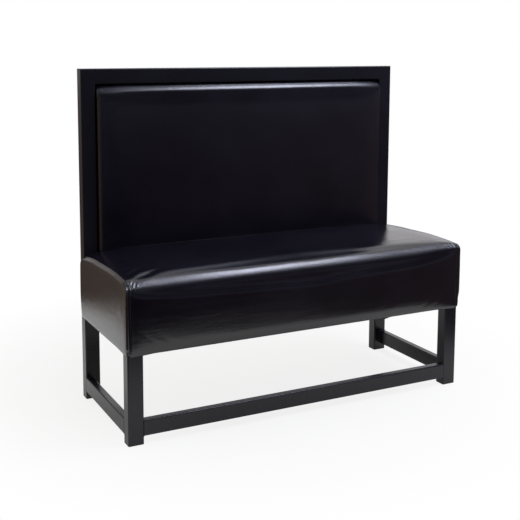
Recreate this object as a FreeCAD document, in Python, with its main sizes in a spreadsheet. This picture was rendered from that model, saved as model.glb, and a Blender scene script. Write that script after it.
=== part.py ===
"""Restaurant booth seat: an upholstered bench seat and back pad in a welded rectangular tube frame.

The origin lies on the floor under the middle of the bench. The bench is seen from the front along +Y,
its width runs along X, and all sizes are in millimetres.
"""

import FreeCAD, Part
import math
import os
import Sketcher

# Driving sizes, each with what it measures
SIZES = {
    # Frame
    "frame_width": (1219, "over the outer faces of the posts"),
    "frame_depth": (457, "front of the front legs to the rear of the back posts"),
    "frame_height": (1110, "floor to the top of the back"),
    "post_face": (50, "post width, seen from the front"),
    "post_side": (40, "post depth, seen from the side"),
    "tube_wall": (2, "wall of every steel tube"),
    "tube_bend": (2, "inside corner radius of every steel tube"),
    "stretcher_height": (50, "height of the floor stretchers"),
    "stretcher_thickness": (25, "thickness of the floor stretchers"),
    "stretcher_rise": (25, "floor to the underside of the stretchers"),
    "rail_height": (40, "height of the tubes under the seat deck"),
    "rail_thickness": (25, "thickness of the tubes under the seat deck"),
    "lower_rail_drop": (7, "foot of the back pad to the rail below it"),
    # Feet
    "glide_flange": (5, "thickness of a foot glide below the post"),
    "glide_plug": (22, "length of a foot glide inside the post"),
    "glide_wall": (2.5, "wall of the hollow plug"),
    "glide_chamfer": (1.2, "bevel round the bottom of a foot glide"),
    # Seat boards
    "skirt_rise": (276, "floor to the lower edge of the seat covers"),
    "deck_rise": (395, "floor to the underside of the seat deck"),
    "deck_thickness": (18, "plywood seat deck"),
    "apron_thickness": (12, "plywood boards round the seat"),
    "lining_thickness": (1, "dust cover under the seat"),
    # Seat cushion
    "vinyl": (1.5, "thickness of the upholstery vinyl"),
    "wrap": (3.5, "thin foam between boards and vinyl"),
    "slip": (0.3, "clearance of soft and slipped-in pieces"),
    "front_edge_end": (82, "deck to the front edge line, at the ends"),
    "front_edge_middle": (86, "deck to the front edge line, in the middle"),
    "rear_edge_end": (80, "deck to the rear edge line, at the ends"),
    "rear_edge_middle": (91, "deck to the rear edge line, in the middle"),
    "crown_end": (13, "rise of the top over its edge lines, at the ends"),
    "crown_middle": (8, "rise of the top over its edge lines, in the middle"),
    "shoulder": (58, "end of the cushion to its full height"),
    "front_roll": (26, "radius of the rolled front edge"),
    "end_roll": (8, "radius along the end seams and upright corners"),
    "wing_drop": (15, "fall of the end cover beside the back post"),
    # Back
    "pad_gap": (4, "gap between the back pad and the frame"),
    "pad_stand": (14, "edge line of the pad in front of the posts, in the middle"),
    "pad_stand_end": (12, "edge line of the pad in front of the posts, at the ends"),
    "pad_crown": (11, "swell of the pad's face, in the middle"),
    "pad_crown_end": (4, "swell of the pad's face, at the ends"),
    "pad_draw": (2, "how far the pad's top edge draws in between its corners"),
    "pad_shoulder": (90, "end of the pad to its full swell"),
    "pad_roll": (14, "radius round the face of the pad"),
    "pad_corner": (6, "radius of the pad's outline at its corners"),
    "pad_clearance": (3, "seat cushion to the bottom of the back pad"),
    "board_thickness": (12, "plywood board behind the pad foam"),
    "panel_thickness": (3, "covered hardboard panel behind the back"),
    "panel_gap": (1.5, "gap between the rear panel and the frame"),
    "panel_recess": (3, "rear face of the frame to the rear panel"),
    # Tabs and screws
    "tab_width": (30, "width of a welded fixing tab"),
    "tab_reach": (40, "how far a fixing tab stands out of its tube"),
    "tab_thickness": (3, "plate of a fixing tab"),
    "tab_inset": (90, "end of a row of tabs to its first tab"),
    "screw_shank": (4.2, "diameter of the wood screws"),
    "screw_head": (8.6, "diameter of the screw heads"),
    "screw_head_height": (2.2, "height of the screw heads"),
    "screw_bite": (9, "how far a screw goes into plywood"),
    "screw_clearance": (0.2, "between a screw and its hole, all round"),
    "overrun": (20, "how far cutting shapes reach past what they cut"),
}

doc = FreeCAD.newDocument("booth_seat")
sheet = doc.addObject("Spreadsheet::Sheet", "Sizes")


class Size:
    """A length that carries its value and the expression which ties it to the sheet."""

    def __init__(self, value, text):
        self.value = value
        self.text = text

    def join(self, other, sign, value):
        return Size(value, f"({self.text} {sign} {size_of(other).text})")

    def __add__(self, other):
        return self.join(other, "+", self.value + size_of(other).value)

    def __sub__(self, other):
        return self.join(other, "-", self.value - size_of(other).value)

    def __mul__(self, other):
        return self.join(other, "*", self.value * size_of(other).value)

    def __truediv__(self, other):
        return self.join(other, "/", self.value / size_of(other).value)

    def __neg__(self):
        return Size(-self.value, f"(-1 * {self.text})")

    def root(self):
        return Size(math.sqrt(self.value), f"sqrt({self.text})")


def size_of(item):
    """A plain share or count as a Size, and a Size as it is."""
    if isinstance(item, Size):
        return item
    return Size(float(item), str(float(item)))


def fill_sheet():
    """Writes the driving sizes into the sheet and gives each as a Size."""
    named = {}
    for row, (alias, (value, meaning)) in enumerate(SIZES.items(), start=1):
        sheet.set(f"A{row}", alias)
        sheet.set(f"B{row}", str(value))
        sheet.set(f"C{row}", meaning)
        sheet.setAlias(f"B{row}", alias)
        named[alias] = Size(float(value), f"Sizes.{alias}")
    doc.recompute()
    return named


S = fill_sheet()
ZERO = size_of(0)

# Planes of the frame
half_width = S["frame_width"] / 2
half_opening = half_width - S["post_face"]
front = -(S["frame_depth"] - S["vinyl"] - S["wrap"]) / 2
rear = front + S["frame_depth"]
post_front = rear - S["post_side"]
opening_top = S["frame_height"] - S["post_face"]
tube_corner = S["tube_bend"] + S["tube_wall"]

# Planes of the seat
overhang = S["vinyl"] + S["wrap"]
seat_half = half_width + overhang
seat_front = front - overhang
deck_top = S["deck_rise"] + S["deck_thickness"]
board_foot = S["skirt_rise"] + S["vinyl"] + S["lining_thickness"]

# Planes of the back
panel_rear = rear - S["panel_recess"]
tab_rear = panel_rear - S["panel_thickness"]
board_rear = tab_rear - S["tab_thickness"]
board_front = board_rear - S["board_thickness"]
pad_half = half_opening - S["pad_gap"]
pad_foot = deck_top + S["rear_edge_middle"] + S["pad_clearance"]
pad_top = opening_top - S["pad_gap"]
lower_rail_top = pad_foot - S["lower_rail_drop"]
board_margin = S["vinyl"] + S["slip"]
screw_hole = S["screw_shank"] / 2 + S["screw_clearance"]

# How close two places on a model count as the same
TOLERANCE = 1e-3


def bind(item, path, size):
    """Ties one property of an object to the sheet."""
    item.setExpression(path, size_of(size).text)


def place(item, x=ZERO, y=ZERO, z=ZERO, turn=None):
    """Moves an object to a named place, with an optional turn about its own origin."""
    if turn is not None:
        item.Placement = FreeCAD.Placement(FreeCAD.Vector(0, 0, 0), turn)
    bind(item, "Placement.Base.x", x)
    bind(item, "Placement.Base.y", y)
    bind(item, "Placement.Base.z", z)


def new_body(name):
    body = doc.addObject("PartDesign::Body", name)
    body.Label = name
    return body


def new_sketch(body, plane, name, offset=None):
    """A sketch on one of the body's own origin planes, moved along the plane's normal."""
    sketch = body.newObject("Sketcher::SketchObject", f"{body.Name}_{name}")
    origin_plane = [item for item in body.Origin.OriginFeatures if item.Role == plane][0]
    sketch.AttachmentSupport = [(origin_plane, "")]
    sketch.MapMode = "FlatFace"
    if offset is not None:
        bind(sketch, "AttachmentOffset.Base.z", offset)
    return sketch


def fix_point(sketch, geometry, position, x, y):
    """Holds one point of a sketch at a named place."""
    for size, kind, axis in ((x, "DistanceX", -2), (y, "DistanceY", -1)):
        if abs(size.value) < TOLERANCE:
            sketch.addConstraint(Sketcher.Constraint("PointOnObject", geometry, position, axis))
        else:
            index = sketch.addConstraint(Sketcher.Constraint(kind, -1, 1, geometry, position, size.value))
            bind(sketch, f"Constraints[{index}]", size)


def swell_point(start, end, rise):
    """The middle of an arc between two points that rises to the right of its chord."""
    (x0, y0), (x1, y1) = start, end
    dx = x1 - x0
    dy = y1 - y0
    chord = (dx * dx + dy * dy).root()
    return (x0 + x1) / 2 + dy / chord * rise, (y0 + y1) / 2 - dx / chord * rise


def draw_outline(sketch, points, rises=None):
    """A closed outline through named points; a side with a rise becomes an arc.

    The arc swells to the right of its side, or to the left where the rise is negative.
    """
    rises = rises or {}
    first = sketch.GeometryCount
    count = len(points)
    sides = [(points[number], points[(number + 1) % count]) for number in range(count)]
    swells = {number: swell_point(*sides[number], rise) for number, rise in rises.items()}
    ends = []
    for number, side in enumerate(sides):
        start, end = (FreeCAD.Vector(x.value, y.value, 0) for x, y in side)
        # A sketch's arcs run anticlockwise, so one that swells to the left is drawn from its end
        backwards = number in rises and rises[number].value < 0
        if number in swells:
            x, y = swells[number]
            middle = FreeCAD.Vector(x.value, y.value, 0)
            curve = Part.Arc(end, middle, start) if backwards else Part.Arc(start, middle, end)
        else:
            curve = Part.LineSegment(start, end)
        sketch.addGeometry(curve, False)
        ends.append((2, 1) if backwards else (1, 2))
    for number in range(count):
        following = (number + 1) % count
        pair = (first + number, ends[number][1], first + following, ends[following][0])
        sketch.addConstraint(Sketcher.Constraint("Coincident", *pair))
    for number, (x, y) in enumerate(points):
        fix_point(sketch, first + number, ends[number][0], x, y)
    for number, (x, y) in swells.items():
        middle = sketch.addGeometry(Part.Point(FreeCAD.Vector(x.value, y.value, 0)), True)
        fix_point(sketch, middle, 1, x, y)
        sketch.addConstraint(Sketcher.Constraint("PointOnObject", middle, 1, first + number))


def draw_rectangle(sketch, x0, y0, x1, y1):
    draw_outline(sketch, [(x0, y0), (x1, y0), (x1, y1), (x0, y1)])


def draw_circles(sketch, places, radius):
    """Equal round holes at named places."""
    for x, y in places:
        circle = Part.Circle(FreeCAD.Vector(x.value, y.value, 0), FreeCAD.Vector(0, 0, 1), radius.value)
        index = sketch.addGeometry(circle, False)
        fix_point(sketch, index, 3, x, y)
        number = sketch.addConstraint(Sketcher.Constraint("Radius", index, radius.value))
        bind(sketch, f"Constraints[{number}]", radius)


def draw_rounded(sketch, width, depth, corner):
    """A rectangle about the sketch's origin with four equal round corners."""
    first = sketch.GeometryCount
    x = width.value / 2
    y = depth.value / 2
    r = corner.value
    sides = [
        ((r - x, -y), (x - r, -y)),
        ((x, r - y), (x, y - r)),
        ((x - r, y), (r - x, y)),
        ((-x, y - r), (-x, r - y)),
    ]
    for (x0, y0), (x1, y1) in sides:
        sketch.addGeometry(Part.LineSegment(FreeCAD.Vector(x0, y0, 0), FreeCAD.Vector(x1, y1, 0)), False)
    for number, (sx, sy) in enumerate(((1, -1), (1, 1), (-1, 1), (-1, -1))):
        circle = Part.Circle(FreeCAD.Vector(sx * (x - r), sy * (y - r), 0), FreeCAD.Vector(0, 0, 1), r)
        start = math.radians(90 * (number - 1))
        sketch.addGeometry(Part.ArcOfCircle(circle, start, start + math.radians(90)), False)
    for number in range(4):
        side = first + number
        arc = first + 4 + number
        following = first + (number + 1) % 4
        sketch.addConstraint(Sketcher.Constraint("Tangent", side, 2, arc, 1))
        sketch.addConstraint(Sketcher.Constraint("Tangent", arc, 2, following, 1))
        kind = "Horizontal" if number % 2 == 0 else "Vertical"
        sketch.addConstraint(Sketcher.Constraint(kind, side))
    for number in range(1, 4):
        sketch.addConstraint(Sketcher.Constraint("Equal", first + 4, first + 4 + number))
    sketch.addConstraint(Sketcher.Constraint("Symmetric", first + 4, 3, first + 6, 3, -1, 1))
    sizes = (
        (Sketcher.Constraint("Radius", first + 4, r), corner),
        (Sketcher.Constraint("DistanceX", first + 3, 1, first + 1, 1, 2 * x), width),
        (Sketcher.Constraint("DistanceY", first, 1, first + 2, 1, 2 * y), depth),
    )
    for constraint, size in sizes:
        index = sketch.addConstraint(constraint)
        bind(sketch, f"Constraints[{index}]", size)


def pad(body, sketch, length, reverse=False):
    feature = body.newObject("PartDesign::Pad", f"{sketch.Name}_pad")
    feature.Profile = sketch
    feature.Reversed = reverse
    bind(feature, "Length", length)
    body.Tip = feature
    return feature


def cut_through(body, sketch):
    """A pocket through the whole body, both ways from its sketch."""
    feature = body.newObject("PartDesign::Pocket", f"{sketch.Name}_pocket")
    feature.Profile = sketch
    feature.Type = "ThroughAll"
    feature.SideType = "Symmetric"
    body.Tip = feature
    return feature


def pocket_up(body, sketch, depth):
    """A blind pocket from its sketch along the sketch's normal."""
    feature = body.newObject("PartDesign::Pocket", f"{sketch.Name}_pocket")
    feature.Profile = sketch
    feature.Reversed = True
    bind(feature, "Length", depth)
    body.Tip = feature
    return feature


def round_edges(body, chosen, radius, kind="Fillet"):
    """Fillets or chamfers the edges of the body's tip that the test picks out."""
    doc.recompute()
    tip = body.Tip
    names = [f"Edge{number}" for number, edge in enumerate(tip.Shape.Edges, start=1) if chosen(edge)]
    feature = body.newObject(f"PartDesign::{kind}", f"{tip.Name}_{kind.lower()}")
    feature.Base = (tip, names)
    bind(feature, "Radius" if kind == "Fillet" else "Size", radius)
    body.Tip = feature
    return feature


UPRIGHT = FreeCAD.Rotation()
ALONG_X = FreeCAD.Rotation(FreeCAD.Vector(0, 0, 1), FreeCAD.Vector(1, 0, 0))
ALONG_Y = FreeCAD.Rotation(FreeCAD.Vector(1, 0, 0), -90)
FORWARD = FreeCAD.Rotation(FreeCAD.Vector(1, 0, 0), 90)


def tube(name, size, length, turn, spot):
    """A rectangular steel tube on its own axis, with rounded corners inside and out."""
    body = new_body(name)
    width, depth = size
    section = new_sketch(body, "XY_Plane", "section")
    draw_rounded(section, width, depth, tube_corner)
    draw_rounded(section, width - S["tube_wall"] * 2, depth - S["tube_wall"] * 2, S["tube_bend"])
    pad(body, section, length)
    place(body, *spot, turn)
    return body


def mitre(body, top, sign):
    """Cuts an upright body's top at 45 degrees, so that it stays longest on its outer side."""
    wedge = new_sketch(body, "XZ_Plane", "mitre")
    reach = S["overrun"] / 2
    outer = (S["post_face"] / 2 + reach) * sign
    corners = [(-outer, top - S["post_face"] - reach), (outer, top + reach), (-outer, top + S["overrun"])]
    draw_outline(wedge, corners)
    cut_through(body, wedge)


def box(name, x0, y0, z0, x1, y1, z1):
    """A plain block between two named corners."""
    item = doc.addObject("Part::Box", name)
    item.Label = name
    bind(item, "Length", x1 - x0)
    bind(item, "Width", y1 - y0)
    bind(item, "Height", z1 - z0)
    place(item, x0, y0, z0)
    return item


def slab(name, points, z, thickness):
    """A flat board with a named outline, seen from above."""
    body = new_body(name)
    outline = new_sketch(body, "XY_Plane", "outline")
    draw_outline(outline, points)
    pad(body, outline, thickness)
    place(body, ZERO, ZERO, z)
    return body


def boolean(kind, name, *items):
    """A cut, common or fuse of finished shapes."""
    feature = doc.addObject(f"Part::{kind}", name)
    feature.Label = name
    if kind in ("Cut", "Common", "Fuse"):
        feature.Base, feature.Tool = items
    elif kind == "MultiFuse":
        feature.Shapes = list(items)
    else:
        feature.Links = list(items)
    if hasattr(feature, "Refine"):
        feature.Refine = False
    return feature


# Front legs and back posts
def build_posts():
    size = (S["post_face"], S["post_side"])
    foot = S["glide_flange"]
    post_length = S["frame_height"] - foot
    front_y = front + S["post_side"] / 2
    rear_y = rear - S["post_side"] / 2
    nodes = []
    for side, sign in (("left", -1), ("right", 1)):
        x = (half_width - S["post_face"] / 2) * sign
        leg = tube(f"front_leg_{side}", size, S["deck_rise"] - foot, UPRIGHT, (x, front_y, foot))
        post = tube(f"back_post_{side}", size, post_length, UPRIGHT, (x, rear_y, foot))
        mitre(post, post_length, sign)
        nodes += [leg, post]
    return nodes


# Mitred top rail and the rail under the back pad
def build_back_rails():
    y = rear - S["post_side"] / 2
    top = new_body("back_top_rail")
    section = new_sketch(top, "YZ_Plane", "section", -half_width)
    draw_rounded(section, S["post_side"], S["post_face"], tube_corner)
    inner_side = S["post_side"] - S["tube_wall"] * 2
    inner_face = S["post_face"] - S["tube_wall"] * 2
    draw_rounded(section, inner_side, inner_face, S["tube_bend"])
    pad(top, section, S["frame_width"])
    reach = S["overrun"] / 2
    half = S["post_face"] / 2
    for side, sign in (("left", -1), ("right", 1)):
        wedge = new_sketch(top, "XZ_Plane", f"mitre_{side}")
        outer = (half_width + reach) * sign
        inner = (half_opening - reach) * sign
        corners = [(outer, half + reach), (outer, -half - reach), (inner, -half - reach)]
        draw_outline(wedge, corners)
        cut_through(top, wedge)
    place(top, ZERO, y, S["frame_height"] - half)
    spot = (-half_opening, y, lower_rail_top - half)
    lower = tube("back_lower_rail", (S["post_face"], S["post_side"]), half_opening * 2, ALONG_X, spot)
    return [top, lower]


# Floor stretchers: one along the front and one at each end
def build_stretchers():
    z = S["stretcher_rise"] + S["stretcher_height"] / 2
    half_thickness = S["stretcher_thickness"] / 2
    lying = (S["stretcher_height"], S["stretcher_thickness"])
    standing = (S["stretcher_thickness"], S["stretcher_height"])
    spot = (-half_opening, front + half_thickness, z)
    nodes = [tube("front_stretcher", lying, half_opening * 2, ALONG_X, spot)]
    span = S["frame_depth"] - S["post_side"] * 2
    for side, sign in (("left", -1), ("right", 1)):
        spot = ((half_width - half_thickness) * sign, front + S["post_side"], z)
        nodes.append(tube(f"side_stretcher_{side}", standing, span, ALONG_Y, spot))
    return nodes


# Tubes that carry the seat deck, set behind the apron boards
def build_seat_rails():
    z = S["deck_rise"] - S["rail_height"] / 2
    half_thickness = S["rail_thickness"] / 2
    lying = (S["rail_height"], S["rail_thickness"])
    standing = (S["rail_thickness"], S["rail_height"])
    front_y = front + S["apron_thickness"] + half_thickness
    rear_y = rear - S["vinyl"] - S["apron_thickness"] - half_thickness
    nodes = [
        tube("seat_rail_front", lying, half_opening * 2, ALONG_X, (-half_opening, front_y, z)),
        tube("seat_rail_rear", lying, half_opening * 2, ALONG_X, (-half_opening, rear_y, z)),
    ]
    span = S["frame_depth"] - S["post_side"] * 2
    for side, sign in (("left", -1), ("right", 1)):
        x = (half_width - S["apron_thickness"] - half_thickness) * sign
        nodes.append(tube(f"seat_rail_{side}", standing, span, ALONG_Y, (x, front + S["post_side"], z)))
    start = front_y + half_thickness
    span = rear_y - half_thickness - start
    nodes.append(tube("seat_rail_middle", standing, span, ALONG_Y, (ZERO, start, z)))
    return nodes


# Plastic glides pushed into the feet of the four posts
def build_glides():
    nodes = []
    plug_width = S["post_face"] - S["tube_wall"] * 2 - S["slip"] * 2
    plug_depth = S["post_side"] - S["tube_wall"] * 2 - S["slip"] * 2
    for row, y in (("front", front + S["post_side"] / 2), ("rear", rear - S["post_side"] / 2)):
        for side, sign in (("left", -1), ("right", 1)):
            body = new_body(f"foot_glide_{row}_{side}")
            flange = new_sketch(body, "XY_Plane", "flange")
            draw_rounded(flange, S["post_face"], S["post_side"], tube_corner)
            pad(body, flange, S["glide_flange"])
            plug = new_sketch(body, "XY_Plane", "plug")
            draw_rounded(plug, plug_width, plug_depth, S["tube_bend"])
            pad(body, plug, S["glide_flange"] + S["glide_plug"])
            hollow = new_sketch(body, "XY_Plane", "hollow", S["glide_flange"])
            inner = S["glide_wall"] * 2
            draw_rectangle(
                hollow,
                (inner - plug_width) / 2,
                (inner - plug_depth) / 2,
                (plug_width - inner) / 2,
                (plug_depth - inner) / 2,
            )
            pocket_up(body, hollow, S["glide_plug"])
            round_edges(body, lambda edge: edge.BoundBox.ZMax < TOLERANCE, S["glide_chamfer"], "Chamfer")
            place(body, (half_width - S["post_face"] / 2) * sign, y, ZERO)
            nodes.append(body)
    return nodes


# Plywood deck, apron boards and dust cover of the seat
def build_seat_boards():
    deck_rear = rear - S["vinyl"] - S["apron_thickness"]
    leg_rear = front + S["post_side"]
    deck_outline = [
        (-half_width, front),
        (half_width, front),
        (half_width, post_front),
        (half_opening, post_front),
        (half_opening, deck_rear),
        (-half_opening, deck_rear),
        (-half_opening, post_front),
        (-half_width, post_front),
    ]
    lining_outline = [
        (-half_opening, front),
        (half_opening, front),
        (half_opening, leg_rear),
        (half_width, leg_rear),
        (half_width, post_front),
        (half_opening, post_front),
        (half_opening, rear - S["vinyl"]),
        (-half_opening, rear - S["vinyl"]),
        (-half_opening, post_front),
        (-half_width, post_front),
        (-half_width, leg_rear),
        (-half_opening, leg_rear),
    ]
    apron = S["apron_thickness"]
    top = S["deck_rise"]
    rear_top = lower_rail_top - S["post_face"]
    deck = slab("seat_deck", deck_outline, S["deck_rise"], S["deck_thickness"])
    holes = new_sketch(deck, "XY_Plane", "holes")
    centres = [centre for row in deck_tab_centres().values() for centre in row]
    draw_circles(holes, centres, screw_hole)
    pocket_up(deck, holes, S["screw_bite"] + S["screw_clearance"])
    nodes = [
        deck,
        slab("dust_cover", lining_outline, board_foot - S["lining_thickness"], S["lining_thickness"]),
        box("apron_front", -half_opening, front, board_foot, half_opening, front + apron, top),
        box("apron_left", -half_width, leg_rear, board_foot, apron - half_width, post_front, top),
        box("apron_right", half_width - apron, leg_rear, board_foot, half_width, post_front, top),
        box("apron_rear", -half_opening, deck_rear, board_foot, half_opening, rear - S["vinyl"], rear_top),
    ]
    return nodes


QUARTER_RISE_SHARE = 1 - math.sqrt(0.5)
# Stations of a rolled end, as shares of the way from the end face to the start of the roll
ROLL_SHARES = (0, 0.12, 0.4, 1)


def loft(body, stations, draw):
    """A ruled loft along X; each station is a place and what its section needs."""
    sections = []
    for number, (x, details) in enumerate(stations):
        sketch = new_sketch(body, "YZ_Plane", f"section_{number}", x)
        draw(sketch, *details)
        sections.append(sketch)
    feature = body.newObject("PartDesign::AdditiveLoft", f"{body.Name}_loft")
    feature.Profile = sections[0]
    feature.Sections = sections[1:]
    feature.Ruled = True
    body.Tip = feature
    return feature


def rolled_stations(half, skin, roll, ends, shoulder, middle):
    """Stations of a form with rolled ends, alike on both sides of the middle.

    The first one lies a skin's thickness inside the end face. Each gets how far its section is drawn in.
    """
    rolled = []
    for share in ROLL_SHARES:
        inside = skin + (roll - skin) * share
        short = roll - inside
        drawn_in = roll - (roll * roll - short * short).root()
        rolled.append((half - inside, (*ends, drawn_in)))
    right = [(half - shoulder, (*middle, ZERO))] + list(reversed(rolled))
    left = [(-x, details) for x, details in reversed(right)]
    return left + [(ZERO, (*middle, ZERO))] + right


def end_drawing(roll, skin):
    """How far a form with a rolled end is drawn in where its end panel starts."""
    short = roll - skin
    return roll - (roll * roll - short * short).root()


seat_ends = (S["front_edge_end"], S["rear_edge_end"], S["crown_end"])
seat_middle = (S["front_edge_middle"], S["rear_edge_middle"], S["crown_middle"])


def seat_profile(front_edge, rear_edge, inset):
    """Where the top of the cushion starts at its rear, ends at its front roll, and the roll's foot."""
    front_z = deck_top + front_edge - inset
    roll_y = seat_front + S["front_roll"]
    rear_point = (post_front, deck_top + rear_edge - inset)
    return rear_point, (roll_y, front_z), (seat_front + inset, deck_top + front_edge - S["front_roll"])


def build_seat_cover_top():
    """The top and front of the seat in one piece of vinyl, a band lofted from end seam to end seam."""
    body = new_body("seat_cover_top")

    def section(sketch, front_edge, rear_edge, crown, drawn_in):
        outer = seat_profile(front_edge, rear_edge, drawn_in)
        inner = seat_profile(front_edge, rear_edge, drawn_in + S["vinyl"])
        foot = S["skirt_rise"]
        points = [(outer[2][0], foot), (inner[2][0], foot), inner[2], inner[1], inner[0]]
        points += [outer[0], outer[1], outer[2]]
        outer_turn = (S["front_roll"] - drawn_in) * QUARTER_RISE_SHARE
        inner_turn = (S["front_roll"] - drawn_in - S["vinyl"]) * QUARTER_RISE_SHARE
        draw_outline(sketch, points, {2: -inner_turn, 3: -crown, 5: crown, 6: outer_turn})

    stations = rolled_stations(seat_half, S["vinyl"], S["end_roll"], seat_ends, S["shoulder"], seat_middle)
    loft(body, stations, section)
    return body


def build_seat_foam():
    """The foam block on the deck, a clearance inside the cover."""
    body = new_body("seat_foam")

    def section(sketch, front_edge, rear_edge, crown, drawn_in):
        inset = board_margin + drawn_in
        rear_point, roll_top, roll_foot = seat_profile(front_edge, rear_edge, inset)
        back = post_front - S["slip"]
        points = [(roll_foot[0], deck_top), (back, deck_top), (back, rear_point[1]), roll_top, roll_foot]
        turn = (S["front_roll"] - inset) * QUARTER_RISE_SHARE
        draw_outline(sketch, points, {2: crown, 3: turn})

    half = seat_half - board_margin
    roll = S["end_roll"] - board_margin
    loft(body, rolled_stations(half, S["slip"], roll, seat_ends, S["shoulder"], seat_middle), section)
    return body


# Vinyl covers, foam and wraps of the seat
def build_seat_cushion():
    nodes = [build_seat_cover_top(), build_seat_foam()]
    drawn_in = end_drawing(S["end_roll"], S["vinyl"])
    rear_point, roll_top, roll_foot = seat_profile(S["front_edge_end"], S["rear_edge_end"], drawn_in)
    wing_foot = rear_point[1] - S["wing_drop"]
    for side, sign in (("left", -1), ("right", 1)):
        panel = new_body(f"seat_cover_{side}")
        sketch = new_sketch(panel, "YZ_Plane", "outline", (seat_half - S["vinyl"]) * sign)
        corners = [(roll_foot[0], S["skirt_rise"]), (rear, S["skirt_rise"]), (rear, wing_foot)]
        corners += [rear_point, roll_top, roll_foot]
        turn = (S["front_roll"] - drawn_in) * QUARTER_RISE_SHARE
        draw_outline(sketch, corners, {3: S["crown_end"], 4: turn})
        pad(panel, sketch, S["vinyl"], reverse=sign < 0)
        wrap = new_body(f"seat_wrap_{side}")
        sketch = new_sketch(wrap, "YZ_Plane", "outline", half_width * sign)
        start = seat_front + S["end_roll"]
        corners = [
            (start, board_foot),
            (rear, board_foot),
            (rear, wing_foot - S["vinyl"]),
            (post_front, rear_point[1] - S["vinyl"]),
            (post_front, deck_top),
            (start, deck_top),
        ]
        draw_outline(sketch, corners)
        pad(wrap, sketch, S["wrap"], reverse=sign < 0)
        nodes += [panel, wrap]
    wrap_half = seat_half - S["end_roll"]
    wrap_face = front - S["wrap"]
    nodes.append(box("seat_wrap_front", -wrap_half, wrap_face, board_foot, wrap_half, front, deck_top))
    rear_top = lower_rail_top - S["post_face"]
    face = rear - S["vinyl"]
    nodes.append(box("seat_cover_rear", -half_opening, face, S["skirt_rise"], half_opening, rear, rear_top))
    return nodes


pad_ends = (S["pad_stand_end"], S["pad_crown_end"], ZERO)
pad_middle = (S["pad_stand"], S["pad_crown"], S["pad_draw"])


def pad_profile(stand, draw, inset, edge_inset, back):
    """Outline of the back pad from its rear foot round its face to its rear top."""
    face = post_front - stand + inset
    shoulder = post_front - stand + S["pad_roll"]
    foot = pad_foot + edge_inset
    top = pad_top - draw - edge_inset
    roll = S["pad_roll"] - inset
    lower = [(back, foot), (shoulder, foot), (face, foot + roll)]
    upper = [(face, top - roll), (shoulder, top), (back, top)]
    return lower + upper


# How much less the pad's top and foot edges are drawn in at its ends than its face
edge_draw = S["pad_corner"] / S["pad_roll"]


def build_back_cover():
    """The face, top and foot of the pad's cover, a band lofted from side seam to side seam."""
    body = new_body("back_cover")
    skin = S["vinyl"]

    def section(sketch, stand, crown, draw, drawn_in):
        outer = pad_profile(stand, draw, drawn_in, drawn_in * edge_draw, board_rear)
        inner = pad_profile(stand, draw, drawn_in + skin, drawn_in * edge_draw + skin, board_rear)
        outer_turn = (S["pad_roll"] - drawn_in) * QUARTER_RISE_SHARE
        inner_turn = (S["pad_roll"] - drawn_in - skin) * QUARTER_RISE_SHARE
        rises = {1: -outer_turn, 2: -crown, 3: -outer_turn, 7: inner_turn, 8: crown, 9: inner_turn}
        draw_outline(sketch, outer + list(reversed(inner)), rises)

    stations = rolled_stations(pad_half, skin, S["pad_roll"], pad_ends, S["pad_shoulder"], pad_middle)
    loft(body, stations, section)
    return body


def build_back_foam():
    """The foam between the board and the cover."""
    body = new_body("back_foam")

    def section(sketch, stand, crown, draw, drawn_in):
        inset = board_margin + drawn_in
        points = pad_profile(stand, draw, inset, board_margin + drawn_in * edge_draw, board_front)
        turn = (S["pad_roll"] - inset) * QUARTER_RISE_SHARE
        draw_outline(sketch, points, {1: -turn, 2: -crown, 3: -turn})

    half = pad_half - board_margin
    roll = S["pad_roll"] - board_margin
    stations = rolled_stations(half, S["slip"], roll, pad_ends, S["pad_shoulder"], pad_middle)
    loft(body, stations, section)
    return body


# Back pad: cover, foam, board and the panel that closes the rear
def build_back():
    nodes = [build_back_cover(), build_back_foam()]
    drawn_in = end_drawing(S["pad_roll"], S["vinyl"])
    turn = (S["pad_roll"] - drawn_in) * QUARTER_RISE_SHARE
    for side, sign in (("left", -1), ("right", 1)):
        boxing = new_body(f"back_boxing_{side}")
        sketch = new_sketch(boxing, "YZ_Plane", "outline", (pad_half - S["vinyl"]) * sign)
        outline = pad_profile(S["pad_stand_end"], ZERO, drawn_in, drawn_in * edge_draw, board_rear)
        draw_outline(sketch, outline, {1: -turn, 2: -S["pad_crown_end"], 3: -turn})
        pad(boxing, sketch, S["vinyl"], reverse=sign < 0)
        nodes.append(boxing)
    board = new_body("back_board")
    outline = new_sketch(board, "XZ_Plane", "outline")
    top = pad_top - S["pad_draw"] - board_margin
    foot = pad_foot + board_margin
    half = pad_half - board_margin
    draw_rectangle(outline, -half, foot, half, top)
    draw_circles(outline, back_screw_places() + panel_screw_places(), screw_hole)
    pad(board, outline, S["board_thickness"])
    corners = [FreeCAD.Vector(x.value, 0, z.value) for x in (-half, half) for z in (foot, top)]

    def at_corner(edge):
        spots = [FreeCAD.Vector(vertex.X, 0, vertex.Z) for vertex in edge.Vertexes]
        return all(min((spot - corner).Length for corner in corners) < TOLERANCE for spot in spots) and (
            edge.BoundBox.YLength > S["board_thickness"].value - TOLERANCE
        )

    round_edges(board, at_corner, S["pad_roll"])
    place(board, ZERO, board_rear, ZERO)
    panel = new_body("back_rear_panel")
    outline = new_sketch(panel, "XZ_Plane", "outline")
    edge = half_opening - S["panel_gap"]
    draw_rectangle(outline, -edge, lower_rail_top + S["panel_gap"], edge, opening_top - S["panel_gap"])
    draw_circles(outline, panel_screw_places(), screw_hole)
    pad(panel, outline, S["panel_thickness"])
    place(panel, ZERO, panel_rear, ZERO)
    return nodes + [board, panel]


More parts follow.
